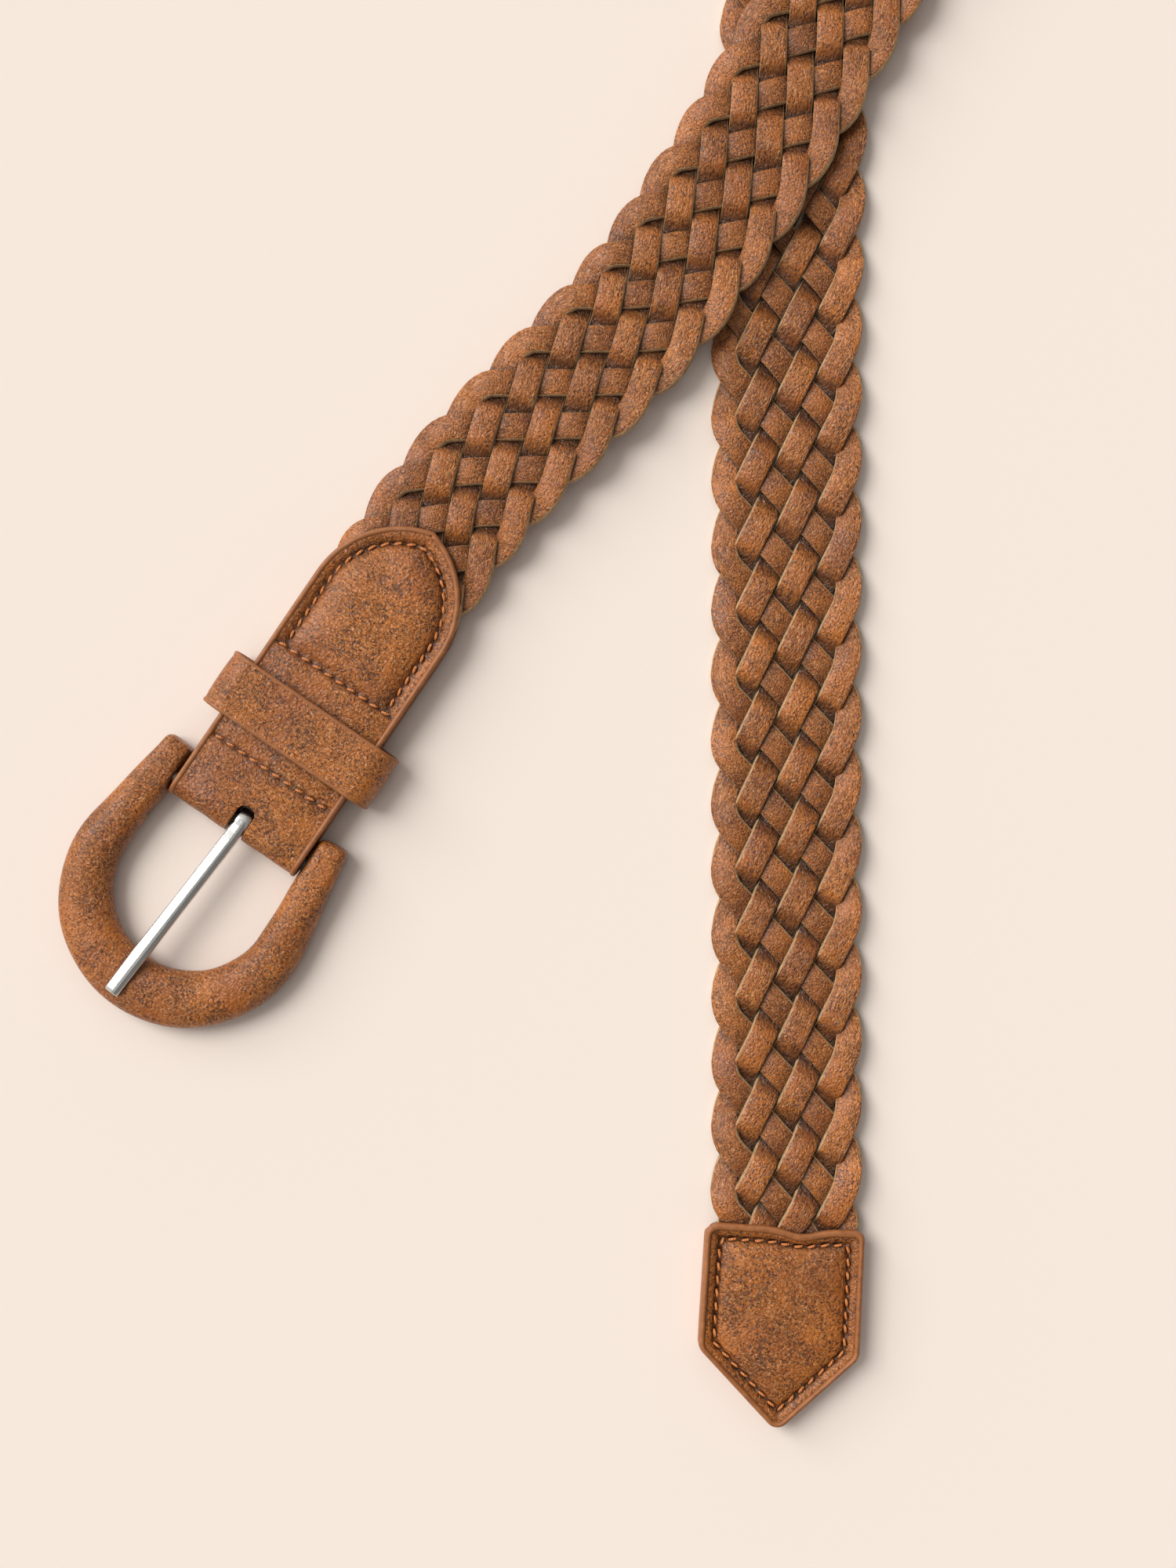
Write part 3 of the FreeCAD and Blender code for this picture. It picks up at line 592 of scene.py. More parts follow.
def leather_material(name, attribute=None, patches=1.0, fine=1.0):
    """Antiqued tan leather: pebbled grain, wrinkles in one direction, dark flecks in patches, a painted
    highlight on ridge lines and painted shade in crevices and at seams.
    """
    nodes = Nodes(name)
    base = millimetres(nodes, attribute)
    drift = nodes.noise(base, 0.5, 2.0, output="Color")
    drift = nodes.vector_mix("SUBTRACT", drift, (0.5, 0.5, 0.5))
    bent = nodes.vector_mix("ADD", base, nodes.vector_mix("MULTIPLY", drift, (1.1, 1.1, 1.1)))
    pebbles = nodes.cells(bent, 1.2 * fine, "F1")
    pebbles = nodes.ramp(pebbles, [(0.10, 1.0), (0.42, 0.62), (0.72, 0.0)])
    grit = nodes.noise(bent, 1.7, 2.0)
    turned = nodes.add("ShaderNodeMapping")
    nodes.link(bent, turned.inputs["Vector"])
    turned.inputs["Rotation"].default_value = (0.0, 0.0, math.radians(FOLD_LIE))
    turned.inputs["Scale"].default_value = (0.42, 1.25, 1.0)
    turned = turned.outputs[0]
    folds = nodes.noise(turned, 0.75, 2.0)
    fold_lines = nodes.math("ABSOLUTE", nodes.math("SUBTRACT", folds, 0.5))
    creases = nodes.ramp(fold_lines, [(0.0, 0.0), (0.03, 0.6), (0.09, 1.0)])
    where = nodes.noise(base, 0.09, 2.0, 0.5, 0.4)
    folded = nodes.ramp(where, [(0.40, 0.25), (0.58, 1.0)])
    depth = nodes.math("MULTIPLY", nodes.math("SUBTRACT", 1.0, creases), folded)
    rims = nodes.cells(turned, 0.95, "DISTANCE_TO_EDGE")
    rims = nodes.ramp(rims, [(0.0, 1.0), (0.10, 0.0)])
    ridges = nodes.math("MULTIPLY", rims, nodes.ramp(where, [(0.38, 0.15), (0.56, 1.0)]))
    relief = nodes.math("MULTIPLY", pebbles, 0.55)
    relief = nodes.math("ADD", relief, nodes.math("MULTIPLY", grit, 0.55))
    relief = nodes.math("SUBTRACT", relief, nodes.math("MULTIPLY", depth, 0.55))
    relief = nodes.math("ADD", relief, nodes.math("MULTIPLY", ridges, 0.45))

    fleck = nodes.noise(bent, 1.65 * fine, 1.5)
    patch = nodes.noise(base, 0.14, 3.0, 0.6, 0.6)
    gather = nodes.math("MULTIPLY", nodes.math("SUBTRACT", patch, 0.5), 0.55 * patches)
    flecks = nodes.ramp(nodes.math("ADD", fleck, gather), [(0.53, 0.0), (0.58, 0.85), (0.65, 1.0)])
    tone = nodes.ramp(nodes.noise(base, 0.06, 3.0), [(0.36, 0.0), (0.64, 1.0)])
    body = nodes.mix(tone, srgb(146, 75, 18), srgb(186, 106, 34))
    # The flecks are the leather's own and the pebble tops are lighter; the light ridge lines are a
    # painted highlight, the "seam" attribute is painted shade at seams and where strands dive under,
    # and the creases are darker.
    marks_and_painted_light = [
        (pebbles, 0.26, (216, 142, 70)),
        (flecks, 0.78, (68, 34, 18)),
        (depth, 0.55, (84, 42, 20)),
        (ridges, 0.34, (232, 168, 104)),
        (nodes.stored("seam", "Fac"), 0.75, (58, 28, 14)),
    ]
    for share, strength, colour in marks_and_painted_light:
        body = nodes.mix(nodes.math("MULTIPLY", share, strength), body, srgb(*colour))
    # Painted shade: ambient occlusion darkens the colour in crevices and between strands.
    hollow = nodes.add("ShaderNodeAmbientOcclusion", samples=4)
    hollow.inputs["Distance"].default_value = 3.0 * MM
    crevice_shade = nodes.ramp(hollow.outputs["AO"], [(0.30, 0.9), (0.90, 0.0)])
    swell = nodes.bump(nodes.noise(base, 0.11, 2.0), 1.0, 0.5)
    return nodes.finish({
        "Base Color": nodes.mix(crevice_shade, body, srgb(40, 20, 10)),
        "Roughness": nodes.ramp(relief, [(0.1, 0.50), (0.8, 0.30)]),
        "Specular IOR Level": 0.5,
        "Coat Weight": 0.14,
        "Coat Roughness": 0.32,
        "Normal": nodes.bump(relief, 0.24, 1.0, swell),
    })


def edge_material():
    """Smooth edge paint with faint streaks and a little grain showing through."""
    nodes = Nodes("edge_paint")
    base = millimetres(nodes)
    streak = nodes.ramp(nodes.noise(base, 0.5, 3.0, 0.6), [(0.35, 0.0), (0.7, 1.0)])
    return nodes.finish({
        "Base Color": nodes.mix(streak, srgb(164, 102, 54), srgb(140, 82, 40)),
        "Roughness": 0.5,
        "Normal": nodes.bump(nodes.noise(base, 3.0, 2.0), 0.05, 0.6),
    })


def raw_edge_material():
    """The cut side of a strand: grey-brown fibres in fine layers."""
    nodes = Nodes("raw_edge")
    layers = nodes.vector_mix("MULTIPLY", millimetres(nodes, "lay"), (0.8, 1.0, 6.0))
    fibres = nodes.noise(layers, 1.2, 4.0, 0.65)
    colours = [(0.3, srgb(92, 68, 44)), (0.5, srgb(176, 140, 98)), (0.72, srgb(228, 196, 152))]
    return nodes.finish({
        "Base Color": nodes.ramp(fibres, colours),
        "Roughness": 0.85,
        "Normal": nodes.bump(fibres, 0.12, 0.8),
    })


def thread_material():
    """Waxed thread: a light and a darker tan, twisted together."""
    nodes = Nodes("thread")
    twist = nodes.add("ShaderNodeTexWave", wave_type="BANDS", bands_direction="DIAGONAL")
    nodes.link(millimetres(nodes), twist.inputs["Vector"])
    twist.inputs["Scale"].default_value = 0.9
    twist.inputs["Distortion"].default_value = 1.5
    twist = twist.outputs["Fac"]
    return nodes.finish({
        "Base Color": nodes.mix(twist, srgb(176, 92, 38), srgb(232, 152, 86)),
        "Roughness": 0.5,
        "Normal": nodes.bump(twist, 0.1, 0.8),
    })


def steel_material():
    """Nickel-plated steel: long polishing lines and faint scratches."""
    nodes = Nodes("prong_steel")
    base = millimetres(nodes)
    lines = nodes.noise(nodes.vector_mix("MULTIPLY", base, (3.0, 0.12, 3.0)), 1.6, 4.0, 0.65)
    smudge = nodes.noise(base, 0.3, 3.0)
    return nodes.finish({
        "Base Color": nodes.mix(smudge, srgb(214, 213, 208), srgb(238, 238, 234)),
        "Metallic": 1.0,
        "Roughness": nodes.ramp(lines, [(0.3, 0.20), (0.7, 0.32)]),
        "Normal": nodes.bump(lines, 0.03, 0.35),
    })


def core_steel_material():
    """The buckle's bare core: dull steel coloured dark as painted shade, so that it reads as shadow
    where it shows in the gaps.
    """
    nodes = Nodes("core_steel")
    stain = nodes.noise(millimetres(nodes), 0.8, 4.0, 0.6)
    return nodes.finish({
        "Base Color": nodes.mix(stain, srgb(60, 54, 48), srgb(104, 98, 90)),
        "Metallic": 1.0,
        "Roughness": nodes.ramp(stain, [(0.3, 0.5), (0.7, 0.7)]),
    })


def table_material():
    """Plain pale paper, with the faintest tooth."""
    nodes = Nodes("table_paper")
    tooth = nodes.noise(millimetres(nodes), 1.5, 2.0)
    return nodes.finish({
        "Base Color": nodes.mix(tooth, srgb(243, 230, 219), srgb(245, 232, 221)),
        "Roughness": 0.9,
        "Specular IOR Level": 0.1,
    })


MATERIALS = {
    "tab": leather_material("tab_leather_tan"),
    "cover": leather_material("cover_leather_tan"),
    "braid": leather_material("braid_leather_tan", "lay", patches=0.7, fine=1.35),
    "edge": edge_material(),
    "raw_edge": raw_edge_material(),
    "thread": thread_material(),
    "steel": steel_material(),
    "core": core_steel_material(),
}


# ------------------------------------------------------------ tab
def arch_half(y):
    """Half the tab's width at a height along it."""
    centre = TAB_HALF - ARCH_RADIUS
    rise = np.clip(y - ARCH_Y, 0, None)
    round_half = centre + np.sqrt(np.maximum(ARCH_RADIUS ** 2 - rise ** 2, 0))
    return np.where(y <= ARCH_Y, TAB_HALF, round_half)


def arch_inset(x, y):
    """Distance from a point of the tab to its outline."""
    centre = TAB_HALF - ARCH_RADIUS
    side = TAB_HALF - np.abs(x)
    corner = ARCH_RADIUS - np.hypot(np.abs(x) - centre, y - ARCH_Y)
    return np.where(y <= ARCH_Y, side, corner)


APEX_Y = ARCH_Y + math.sqrt(ARCH_RADIUS ** 2 - (TAB_HALF - ARCH_RADIUS) ** 2)


def seam_groove(distance, along, depth=0.55, width=0.6):
    """A stitched groove: deeper at each needle hole."""
    pucker = 1.0 + 0.45 * np.cos(2 * math.pi * along / STITCH_PITCH)
    return depth * np.exp(-(distance / width) ** 2) * pucker


def tab_front_height(x, y):
    """Height of the tab's front leather over its nominal plane."""
    inset = arch_inset(x, y)
    flat = -0.75 + 0.55 * ease(inset, 1.0, 9.0)
    near_fold = ease(-y, 28.0, 38.0)
    flat = flat + near_fold * 0.25
    seam_distance = inset - SEAM_INSET
    row_distance = y - UPPER_SEAM
    inside = -np.log(np.exp(-seam_distance / 1.2) + np.exp(-row_distance / 1.2)) * 1.2
    puff = -1.55 + 2.15 * (1 - np.exp(-np.clip(inside, 0, None) / 3.0))
    border = -1.55 + 0.75 * ease(-seam_distance, 0.0, 2.4) + 0.12 * np.sin(x * 0.4 + y * 0.23)
    padded = np.where(seam_distance > 0, puff, border)
    height = flat + (padded - flat) * ease(y, UPPER_SEAM - 0.5, UPPER_SEAM + 0.8)
    round_along = ARCH_Y + ARCH_RADIUS * np.arctan2(y - ARCH_Y, np.abs(x) + 5.0)
    arch_along = np.where(y > ARCH_Y, round_along, y)
    height -= np.where(y > UPPER_SEAM, seam_groove(seam_distance, arch_along), 0)
    edge_free = ease(inset, 0.8, 1.6)
    height -= edge_free * seam_groove(y - UPPER_SEAM, x)
    height -= edge_free * seam_groove(y - LOWER_SEAM, x)
    height += 0.10 * np.sin(0.31 * x + 0.5) * np.sin(0.22 * y + 1.0) * ease(inset, 1.0, 5.0)
    return height


def tab_seam_shade(x, y):
    """How much painted shade darkens the tab's front: 1 on its seams, falling to 0 beside them."""
    inset = arch_inset(x, y)
    share = np.exp(-((y - UPPER_SEAM) / 0.6) ** 2) + np.exp(-((y - LOWER_SEAM) / 0.6) ** 2)
    share = share * ease(inset, 1.2, 2.0)
    round_arch = np.exp(-((inset - SEAM_INSET) / 0.6) ** 2)
    above = ease(y, UPPER_SEAM - 0.5, UPPER_SEAM + 0.5)
    return np.clip(share + round_arch * above, 0.0, 1.0)


def tab_rows():
    """(y, z, normal y, normal z, front share) of the folded leather, back end to front end."""
    rows = []
    along = []
    bands = [(APEX_Y - 0.15, ARCH_Y + 14, 0.3), (ARCH_Y + 14, ARCH_Y, 0.6), (ARCH_Y, BAR_Y, 0.8)]
    for high, low, step in bands:
        along += list(np.arange(high, low, -step))
    for y in along:
        rows.append((y, 0.0, 0.0, -1.0, 0.0))
    for step in range(25):
        angle = math.radians(-90 - 180 * step / 24)
        y, z = math.cos(angle), math.sin(angle)
        rows.append((BAR_Y + BAR_Z * y, BAR_Z + BAR_Z * z, y, z, step / 24))
    for y in reversed(along):
        rows.append((y, TAB_TOP, 0.0, 1.0, 1.0))
    return rows


def tab_columns():
    """Places across the tab as shares of its half width, finer at the edges."""
    edge = [1.0, 0.992, 0.98, 0.965, 0.95, 0.93, 0.905, 0.88]
    middle = list(np.linspace(0.85, -0.85, 59))
    return np.array(edge + middle + [-value for value in reversed(edge)])


def make_tab():
    """One folded leather: flat on the back, puffed and stitched on the front, slotted at the fold."""
    columns = tab_columns()
    rings = []
    seams = []
    for y, z, normal_y, normal_z, front in tab_rows():
        half = float(arch_half(np.array(y))) - 0.35
        x = columns * half
        level = np.full_like(x, y)
        none = np.zeros_like(x)
        rise = front ** 2 * tab_front_height(x, level) if front > 0.5 else none
        curl = -0.25 * np.exp(-(half - np.abs(x)) / 0.8)
        if front < 1.0:
            rise = rise + 0.06 * np.sin(x * 0.7 + z)
        # Painted shade along the seams of the front face, stored as the "seam" attribute.
        seam = tab_seam_shade(x, level) if front == 1.0 else none
        seams.append(np.concatenate([seam, none]))
        faces = []
        for lift in (rise + curl, rise + curl - LEATHER):
            faces.append(np.stack([x, y + lift * normal_y, z + lift * normal_z], axis=1))
        rings.append(np.concatenate([faces[0], faces[1][::-1]]))
    tab = tube("tab_folded_leather", rings)
    store_painted_shade(tab, np.concatenate(seams))
    cut_slot(tab)
    dress(tab, "strap", "tan_leather", ["tab"], "tab_leather", "tab_padding")


def cut_slot(tab):
    """The prong's slot through the fold, a rounded hole."""
    deep = SLOT_HALF * 0.9
    sides = 40
    outline = []
    for step in range(sides + 1):
        angle = math.pi * step / sides
        outline.append((SLOT_X + SLOT_HALF * math.cos(angle), SLOT_TOP - deep + deep * math.sin(angle)))
    outline += [(SLOT_X - SLOT_HALF, SLOT_BOTTOM), (SLOT_X + SLOT_HALF, SLOT_BOTTOM)]
    levels = (-3.0, TAB_TOP + 3.0)
    cutter = tube("slot_cutter", [[(x, y, z) for x, y in outline] for z in levels])
    cut = tab.modifiers.new("slot", "BOOLEAN")
    cut.operation = "DIFFERENCE"
    cut.solver = "EXACT"
    cut.object = cutter
    bpy.context.view_layer.update()
    graph = bpy.context.evaluated_depsgraph_get()
    mesh = bpy.data.meshes.new_from_object(tab.evaluated_get(graph))
    tab.modifiers.clear()
    tab.data = mesh
    bpy.data.objects.remove(cutter)


def make_tab_edge():
    """The painted edge along both long sides of the folded leather and round its arch."""
    path = []
    for sign, rows in ((1, tab_rows()), (-1, tab_rows()[::-1])):
        for y, z, normal_y, normal_z, front in rows:
            half = float(arch_half(np.array(y)))
            x = sign * max(half - EDGE_ROLL_WIDE, 0.0)
            rise = 0.0
            if front > 0.5:
                rise = float(tab_front_height(np.array(x), np.array(y))) * front ** 2
            middle = rise - LEATHER / 2 + 0.12
            centre = np.array([x, y + middle * normal_y, z + middle * normal_z])
            path.append((centre, np.array([0.0, normal_y, normal_z])))
    rings = []
    for index, (centre, up) in enumerate(path):
        ahead = path[min(index + 1, len(path) - 1)][0] - path[max(index - 1, 0)][0]
        length = np.linalg.norm(ahead)
        ahead = ahead / length if length > 1e-6 else np.array([1.0, 0, 0])
        side = np.cross(ahead, up)
        side = side / max(np.linalg.norm(side), 1e-6)
        ring = []
        for step in range(12):
            wide, tall = squircle(2 * math.pi * step / 12, 2 / 2.4, 2 / 2.4)
            ring.append(centre + side * (wide * EDGE_ROLL_WIDE) + up * (tall * EDGE_ROLL_TALL))
        rings.append(ring)
    edge = tube("tab_painted_edge", rings, closed_rows=True)
    dress(edge, "strap", "edge_paint", ["edge"], "tab_edge")
    make_tab_sides()


def make_tab_sides():
    """The cut layers of leather that show between the tab's two faces."""
    for sign in (1, -1):
        rings = []
        for y in np.arange(BAR_Y + 3.6, ARCH_Y - 4, 0.8):
            x = sign * 16.9
            lean = 0.12 * math.sin(y * 0.9) + 0.08 * math.sin(y * 2.3)
            rings.append([
                (x - 0.9, y, 0.9), (x + sign * 0.1 + lean, y, 0.9), (x + sign * 0.35 + lean, y, 2.2),
                (x + sign * 0.1, y, 2.9), (x + sign * 0.38 - lean, y, 4.2), (x + sign * 0.1, y, 5.6),
                (x - 0.9, y, 5.6),
            ])
        wall = tube("tab_side_layers_%s" % ("right" if sign > 0 else "left"), rings)
        dress(wall, "strap", "edge_paint", ["edge"])


# ------------------------------------------------------------ stitches
def stitch_rings(start, end):
    """One thread lying over the leather between two needle holes."""
    start, end, up = (np.array(point, float) for point in (start, end, (0, 0, 1)))
    ahead = end - start
    long = np.linalg.norm(ahead)
    ahead = ahead / long
    side = np.cross(up, ahead)
    rings = []
    for step in range(9):
        share = step / 8
        swell = math.sin(math.pi * share) ** 0.5 if 0 < share < 1 else 0.0
        centre = start + ahead * long * share + up * (swell * (THREAD_SINK + 0.2) - THREAD_SINK)
        radius = THREAD_RADIUS * (0.55 + 0.45 * swell)
        ring = []
        for turn in range(8):
            angle = 2 * math.pi * turn / 8
            sideways = side * (radius * math.cos(angle))
            ring.append(centre + sideways + up * (radius * 0.8 * math.sin(angle)))
        rings.append(ring)
    return rings


def stitch_set(name, stitches, replaced):
    """Many threads as one piece."""
    verts, faces = [], []
    for rings in stitches:
        rows, cols = len(rings), len(rings[0])
        faces += tube_faces(rows, cols, first=len(verts))
        verts += [tuple(point) for ring in rings for point in ring]
    piece = finish_mesh(name, verts, faces)
    dress(piece, "strap", "thread", ["thread"], replaced)


def seam_between(points, height):
    """Threads along a line of points (x, y); height gives the leather's surface."""
    points = [np.array(point, float) for point in points]
    lengths = [np.linalg.norm(b - a) for a, b in zip(points, points[1:])]
    total = sum(lengths)
    count = max(1, round(total / STITCH_PITCH))

    def at(distance):
        for (a, b), length in zip(zip(points, points[1:]), lengths):
            if distance <= length or b is points[-1]:
                share = min(distance / length, 1.0)
                ahead = (b - a) / length
                return a + (b - a) * share, np.array([-ahead[1], ahead[0]])
            distance -= length

    made = []
    for index in range(count):
        low = total * (index + 0.14) / count
        high = total * (index + 0.80) / count
        (a, side_a), (b, side_b) = at(low), at(high)
        a = a - side_a * STITCH_SLANT
        b = b + side_b * STITCH_SLANT
        top = max(float(height(a[0], a[1])), float(height(b[0], b[1])))
        made.append(stitch_rings((a[0], a[1], top), (b[0], b[1], top)))
    return made


def tab_surface(x, y):
    """Where a thread lies on the tab's front leather."""
    return TAB_TOP + tab_front_height(np.array(x), np.array(y)) + 0.25


def make_tab_stitches():
    """Two straight seams across the tab and one round its arch."""
    half = TAB_HALF - 1.9
    for row, y in (("lower", LOWER_SEAM), ("upper", UPPER_SEAM)):
        threads = seam_between([(-half, y), (half, y)], tab_surface)
        stitch_set("tab_thread_" + row, threads, "tab_stitches_" + row)
    centre = TAB_HALF - ARCH_RADIUS
    radius = ARCH_RADIUS - SEAM_INSET
    right = [(TAB_HALF - SEAM_INSET, UPPER_SEAM + 1.5), (TAB_HALF - SEAM_INSET, ARCH_Y)]
    top_angle = math.acos(-centre / radius)
    for step in range(1, 25):
        angle = top_angle * step / 24
        right.append((centre + radius * math.cos(angle), ARCH_Y + radius * math.sin(angle)))
    outline = right + [(-x, y) for x, y in reversed(right[:-1])]
    stitch_set("tab_thread_arch", seam_between(outline, tab_surface), "tab_stitches_arch")


# ------------------------------------------------------------ buckle
def rim_spans():
    """(inner point, outer point) pairs round the buckle, from the left arm's end to the right's."""
    outer_radius, inner_radius = 31.0, 19.3
    rim_y, eye_y, arm_y = BAR_Y - 23.0, BAR_Y - 20.5, BAR_Y + 3.5
    arm_wide = 3.65
    arm_x = inner_radius + arm_wide
    span = math.hypot(arm_x, arm_y - rim_y)
    normal = math.atan2(arm_y - rim_y, arm_x) - math.acos((outer_radius - arm_wide) / span)
    rim_point = np.array([outer_radius * math.cos(normal), rim_y + outer_radius * math.sin(normal)])
    arm_point = np.array([arm_x + arm_wide * math.cos(normal), arm_y + arm_wide * math.sin(normal)])
    arm_inner = np.array([inner_radius, arm_y])
    eye_point = np.array([inner_radius, eye_y])
    arm_steps, rim_steps = 30, 150
    pairs = []
    for step in range(arm_steps):
        share = step / arm_steps
        swelling = np.array([0.62 * (1 - float(ease(share, 0.25, 0.75))), 0.0])
        inner = arm_inner + (eye_point - arm_inner) * share - swelling
        pairs.append((inner, arm_point + (rim_point - arm_point) * share))
    for step in range(rim_steps + 1):
        share = step / rim_steps
        pair = []
        for radius, middle_y, angle in (
            (inner_radius, eye_y, -math.pi * share),
            (outer_radius, rim_y, normal - (math.pi + 2 * normal) * share),
        ):
            pair.append(np.array([radius * math.cos(angle), middle_y + radius * math.sin(angle)]))
        pairs.append(tuple(pair))
    left = [(inner * (-1, 1), outer * (-1, 1)) for inner, outer in pairs[:arm_steps]]
    return pairs + list(reversed(left))


def make_buckle_cover():
    """Leather wrapped round the buckle: a rounded section with folds and an end cap on each arm."""
    rings = []
    pairs = rim_spans()
    steps = 40
    thick = RIM_THICK / 2
    middle_z = RIM_LOW + thick
    count = len(pairs)

    def ring_at(inner, outer, shrink, push, seed):
        from_end = min(seed, count - seed)
        power = 2 / (2.25 + 1.5 * (1 - float(ease(from_end, 4.0, 22.0))))
        centre = (inner + outer) / 2
        half = np.linalg.norm(outer - inner) / 2
        across = (outer - inner) / (2 * half)
        ahead = np.array([-across[1], across[0]])
        ring = []
        for step in range(steps):
            angle = 2 * math.pi * step / steps
            wide, tall = squircle(angle, power, power)
            ripple = 0.05 * math.sin(seed * 0.21 + 2 * angle) + 0.04 * math.sin(seed * 0.13 - angle * 3)
            wide = wide * half * shrink - ripple * math.cos(angle) * shrink
            tall = tall * thick * shrink - (ripple * math.sin(angle) + 0.06) * shrink
            plan = centre + across * wide + ahead * push
            ring.append((plan[0], plan[1], middle_z + tall))
        return ring

    cap = [(0.12, 4.15), (0.50, 4.10), (0.74, 3.90), (0.88, 3.50), (0.96, 2.80), (0.99, 1.6)]
    for shrink, push in cap:
        rings.append(ring_at(*pairs[0], shrink, push, 0))
    for index, (inner, outer) in enumerate(pairs):
        rings.append(ring_at(inner, outer, 1.0, 0.0, index))
    for shrink, push in reversed(cap):
        rings.append(ring_at(*pairs[-1], shrink, -push, count))
    cover = tube("buckle_leather_wrap", rings)
    dress(cover, "buckle", "tan_leather", ["cover"], "buckle_cover")


def make_prong():
    """A steel prong: its eye on the bar, a faceted shank, a slight bend where it meets the rim."""
    lean = math.radians(PRONG_LEAN)
    # Each station is (place along, height over the bar, half width, half thickness).
    stations = [
        (0.6, 2.9, 1.5, 0.8), (-1.0, 3.15, 1.65, 0.9), (-3.0, 2.95, 1.8, 1.0),
        (-5.0, 2.5, 1.9, 1.2), (-8.0, 2.35, 1.9, 1.25), (-14.0, 2.45, 1.9, 1.25),
        (-22.0, 2.9, 1.9, 1.2), (-30.0, 3.3, 1.9, 1.2), (-37.5, 3.75, 1.95, 1.15),
        (-39.0, 3.95, 1.95, 1.05), (-40.5, 4.05, 1.95, 1.0), (-45.0, 4.0, 1.9, 1.0),
        (-50.2, 3.85, 1.85, 1.0), (-50.9, 3.75, 1.75, 0.85), (-51.1, 3.7, 1.5, 0.6),
    ]
    profile = [(-1.0, -0.75), (-1.0, 0.30), (-0.90, 0.62), (-0.62, 0.88), (0.10, 1.0), (0.42, 0.93),
               (0.88, 0.45), (1.0, 0.10), (1.0, -0.75), (0.8, -1.0), (-0.8, -1.0)]
    rings = []
    for y, z, half, tall in stations:
        ring = []
        for side, level in profile:
            x = side * half
            px = PRONG_X + x * math.cos(lean) + y * math.sin(lean)
            py = BAR_Y + y * math.cos(lean) - x * math.sin(lean)
            ring.append((px, py, BAR_Z + z - 0.2 + level * tall))
        rings.append(ring)
    shank = tube("prong_shank_steel", rings)
    bevel = shank.modifiers.new("bevel", "BEVEL")
    bevel.width = 0.12 * MM
    bevel.segments = 2
    bevel.limit_method = "ANGLE"
    bevel.angle_limit = math.radians(25)
    shank.data.polygons.foreach_set("use_smooth", [False] * len(shank.data.polygons))
    dress(shank, "prong", "prong_steel", ["steel"], "prong")
    eye_rings = []
    for step in range(36):
        angle = 2 * math.pi * step / 36
        c, s = math.cos(angle), math.sin(angle)
        ring = []
        for x, radius in ((-1.7, 1.95), (-1.9, 2.2), (-1.9, 3.1), (-1.5, 3.35), (1.5, 3.35), (1.9, 3.1),
                          (1.9, 2.2), (1.7, 1.95)):
            ring.append((PRONG_X + x, BAR_Y + radius * c, BAR_Z + radius * s))
        eye_rings.append(ring)
    eye = tube("prong_eye_steel", eye_rings, closed_rows=True)
    dress(eye, "prong", "prong_steel", ["steel"])


# ------------------------------------------------------------ keeper
def keeper_outline():
    """Points and outward normals round the keeper's section, outside face."""
    steps_corner, steps_side = 10, 40
    low, high = TABLE, KEEPER_TOP
    half, radius = KEEPER_WIDE / 2, KEEPER_CORNER
    corners = [(half - radius, low + radius, -90), (half - radius, high - radius, 0),
               (-half + radius, high - radius, 90), (-half + radius, low + radius, 180)]
    outline = []
    for index, (x, z, start) in enumerate(corners):
        for step in range(steps_corner + 1):
            angle = math.radians(start + 90 * step / steps_corner)
            normal = np.array([math.cos(angle), math.sin(angle)])
            outline.append((np.array([x, z]) + normal * radius, normal))
        following = corners[(index + 1) % 4]
        angle = math.radians(start + 90)
        normal = np.array([math.cos(angle), math.sin(angle)])
        begin = np.array([x, z]) + normal * radius
        finish = np.array(following[:2]) + normal * radius
        count = steps_side if abs(normal[1]) > 0.5 else 4
        for step in range(1, count):
            outline.append((begin + (finish - begin) * step / count, normal))
    return outline


def make_keeper():
    """A leather ring, slightly domed across its width, with painted edges."""
    rings = []
    wide = KEEPER_LONG / 2
    right = [(0.2, 0.08), (0.6, 0.0), (0.82, -0.16), (0.88, -0.01), (0.94, 0.05), (0.985, -0.12),
             (1.0, -0.55)]
    under = [(0.985, -1.3), (0.9, -1.55), (0.0, -1.6), (-0.9, -1.55), (-0.985, -1.3)]
    profile = [(-side, level) for side, level in reversed(right)] + right + under
    slots = [1, 1, 1, 0, 0, 0, 0, 0, 0, 0, 1, 1, 1, 1, 1, 0, 0, 1, 1]
    for point, normal in keeper_outline():
        ring = []
        for side, level in profile:
            spot = point + normal * level
            ring.append((spot[0], KEEPER_Y + side * wide, spot[1]))
        rings.append(ring)
    keeper = tube("keeper_leather_ring", rings, slots, closed_rows=True)
    dress(keeper, "keeper", "tan_leather", ["tab", "edge"], "keeper")


# ------------------------------------------------------------ tip
def tip_to_table(point):
    """From the tip's own frame, its point at the origin, to the table."""
    turn = math.radians(TIP_LEAN)
    x, y, z = point
    return np.array([
        TIP_POINT[0] + x * math.cos(turn) - y * math.sin(turn),
        TIP_POINT[1] + x * math.sin(turn) + y * math.cos(turn),
        TABLE + z,
    ])


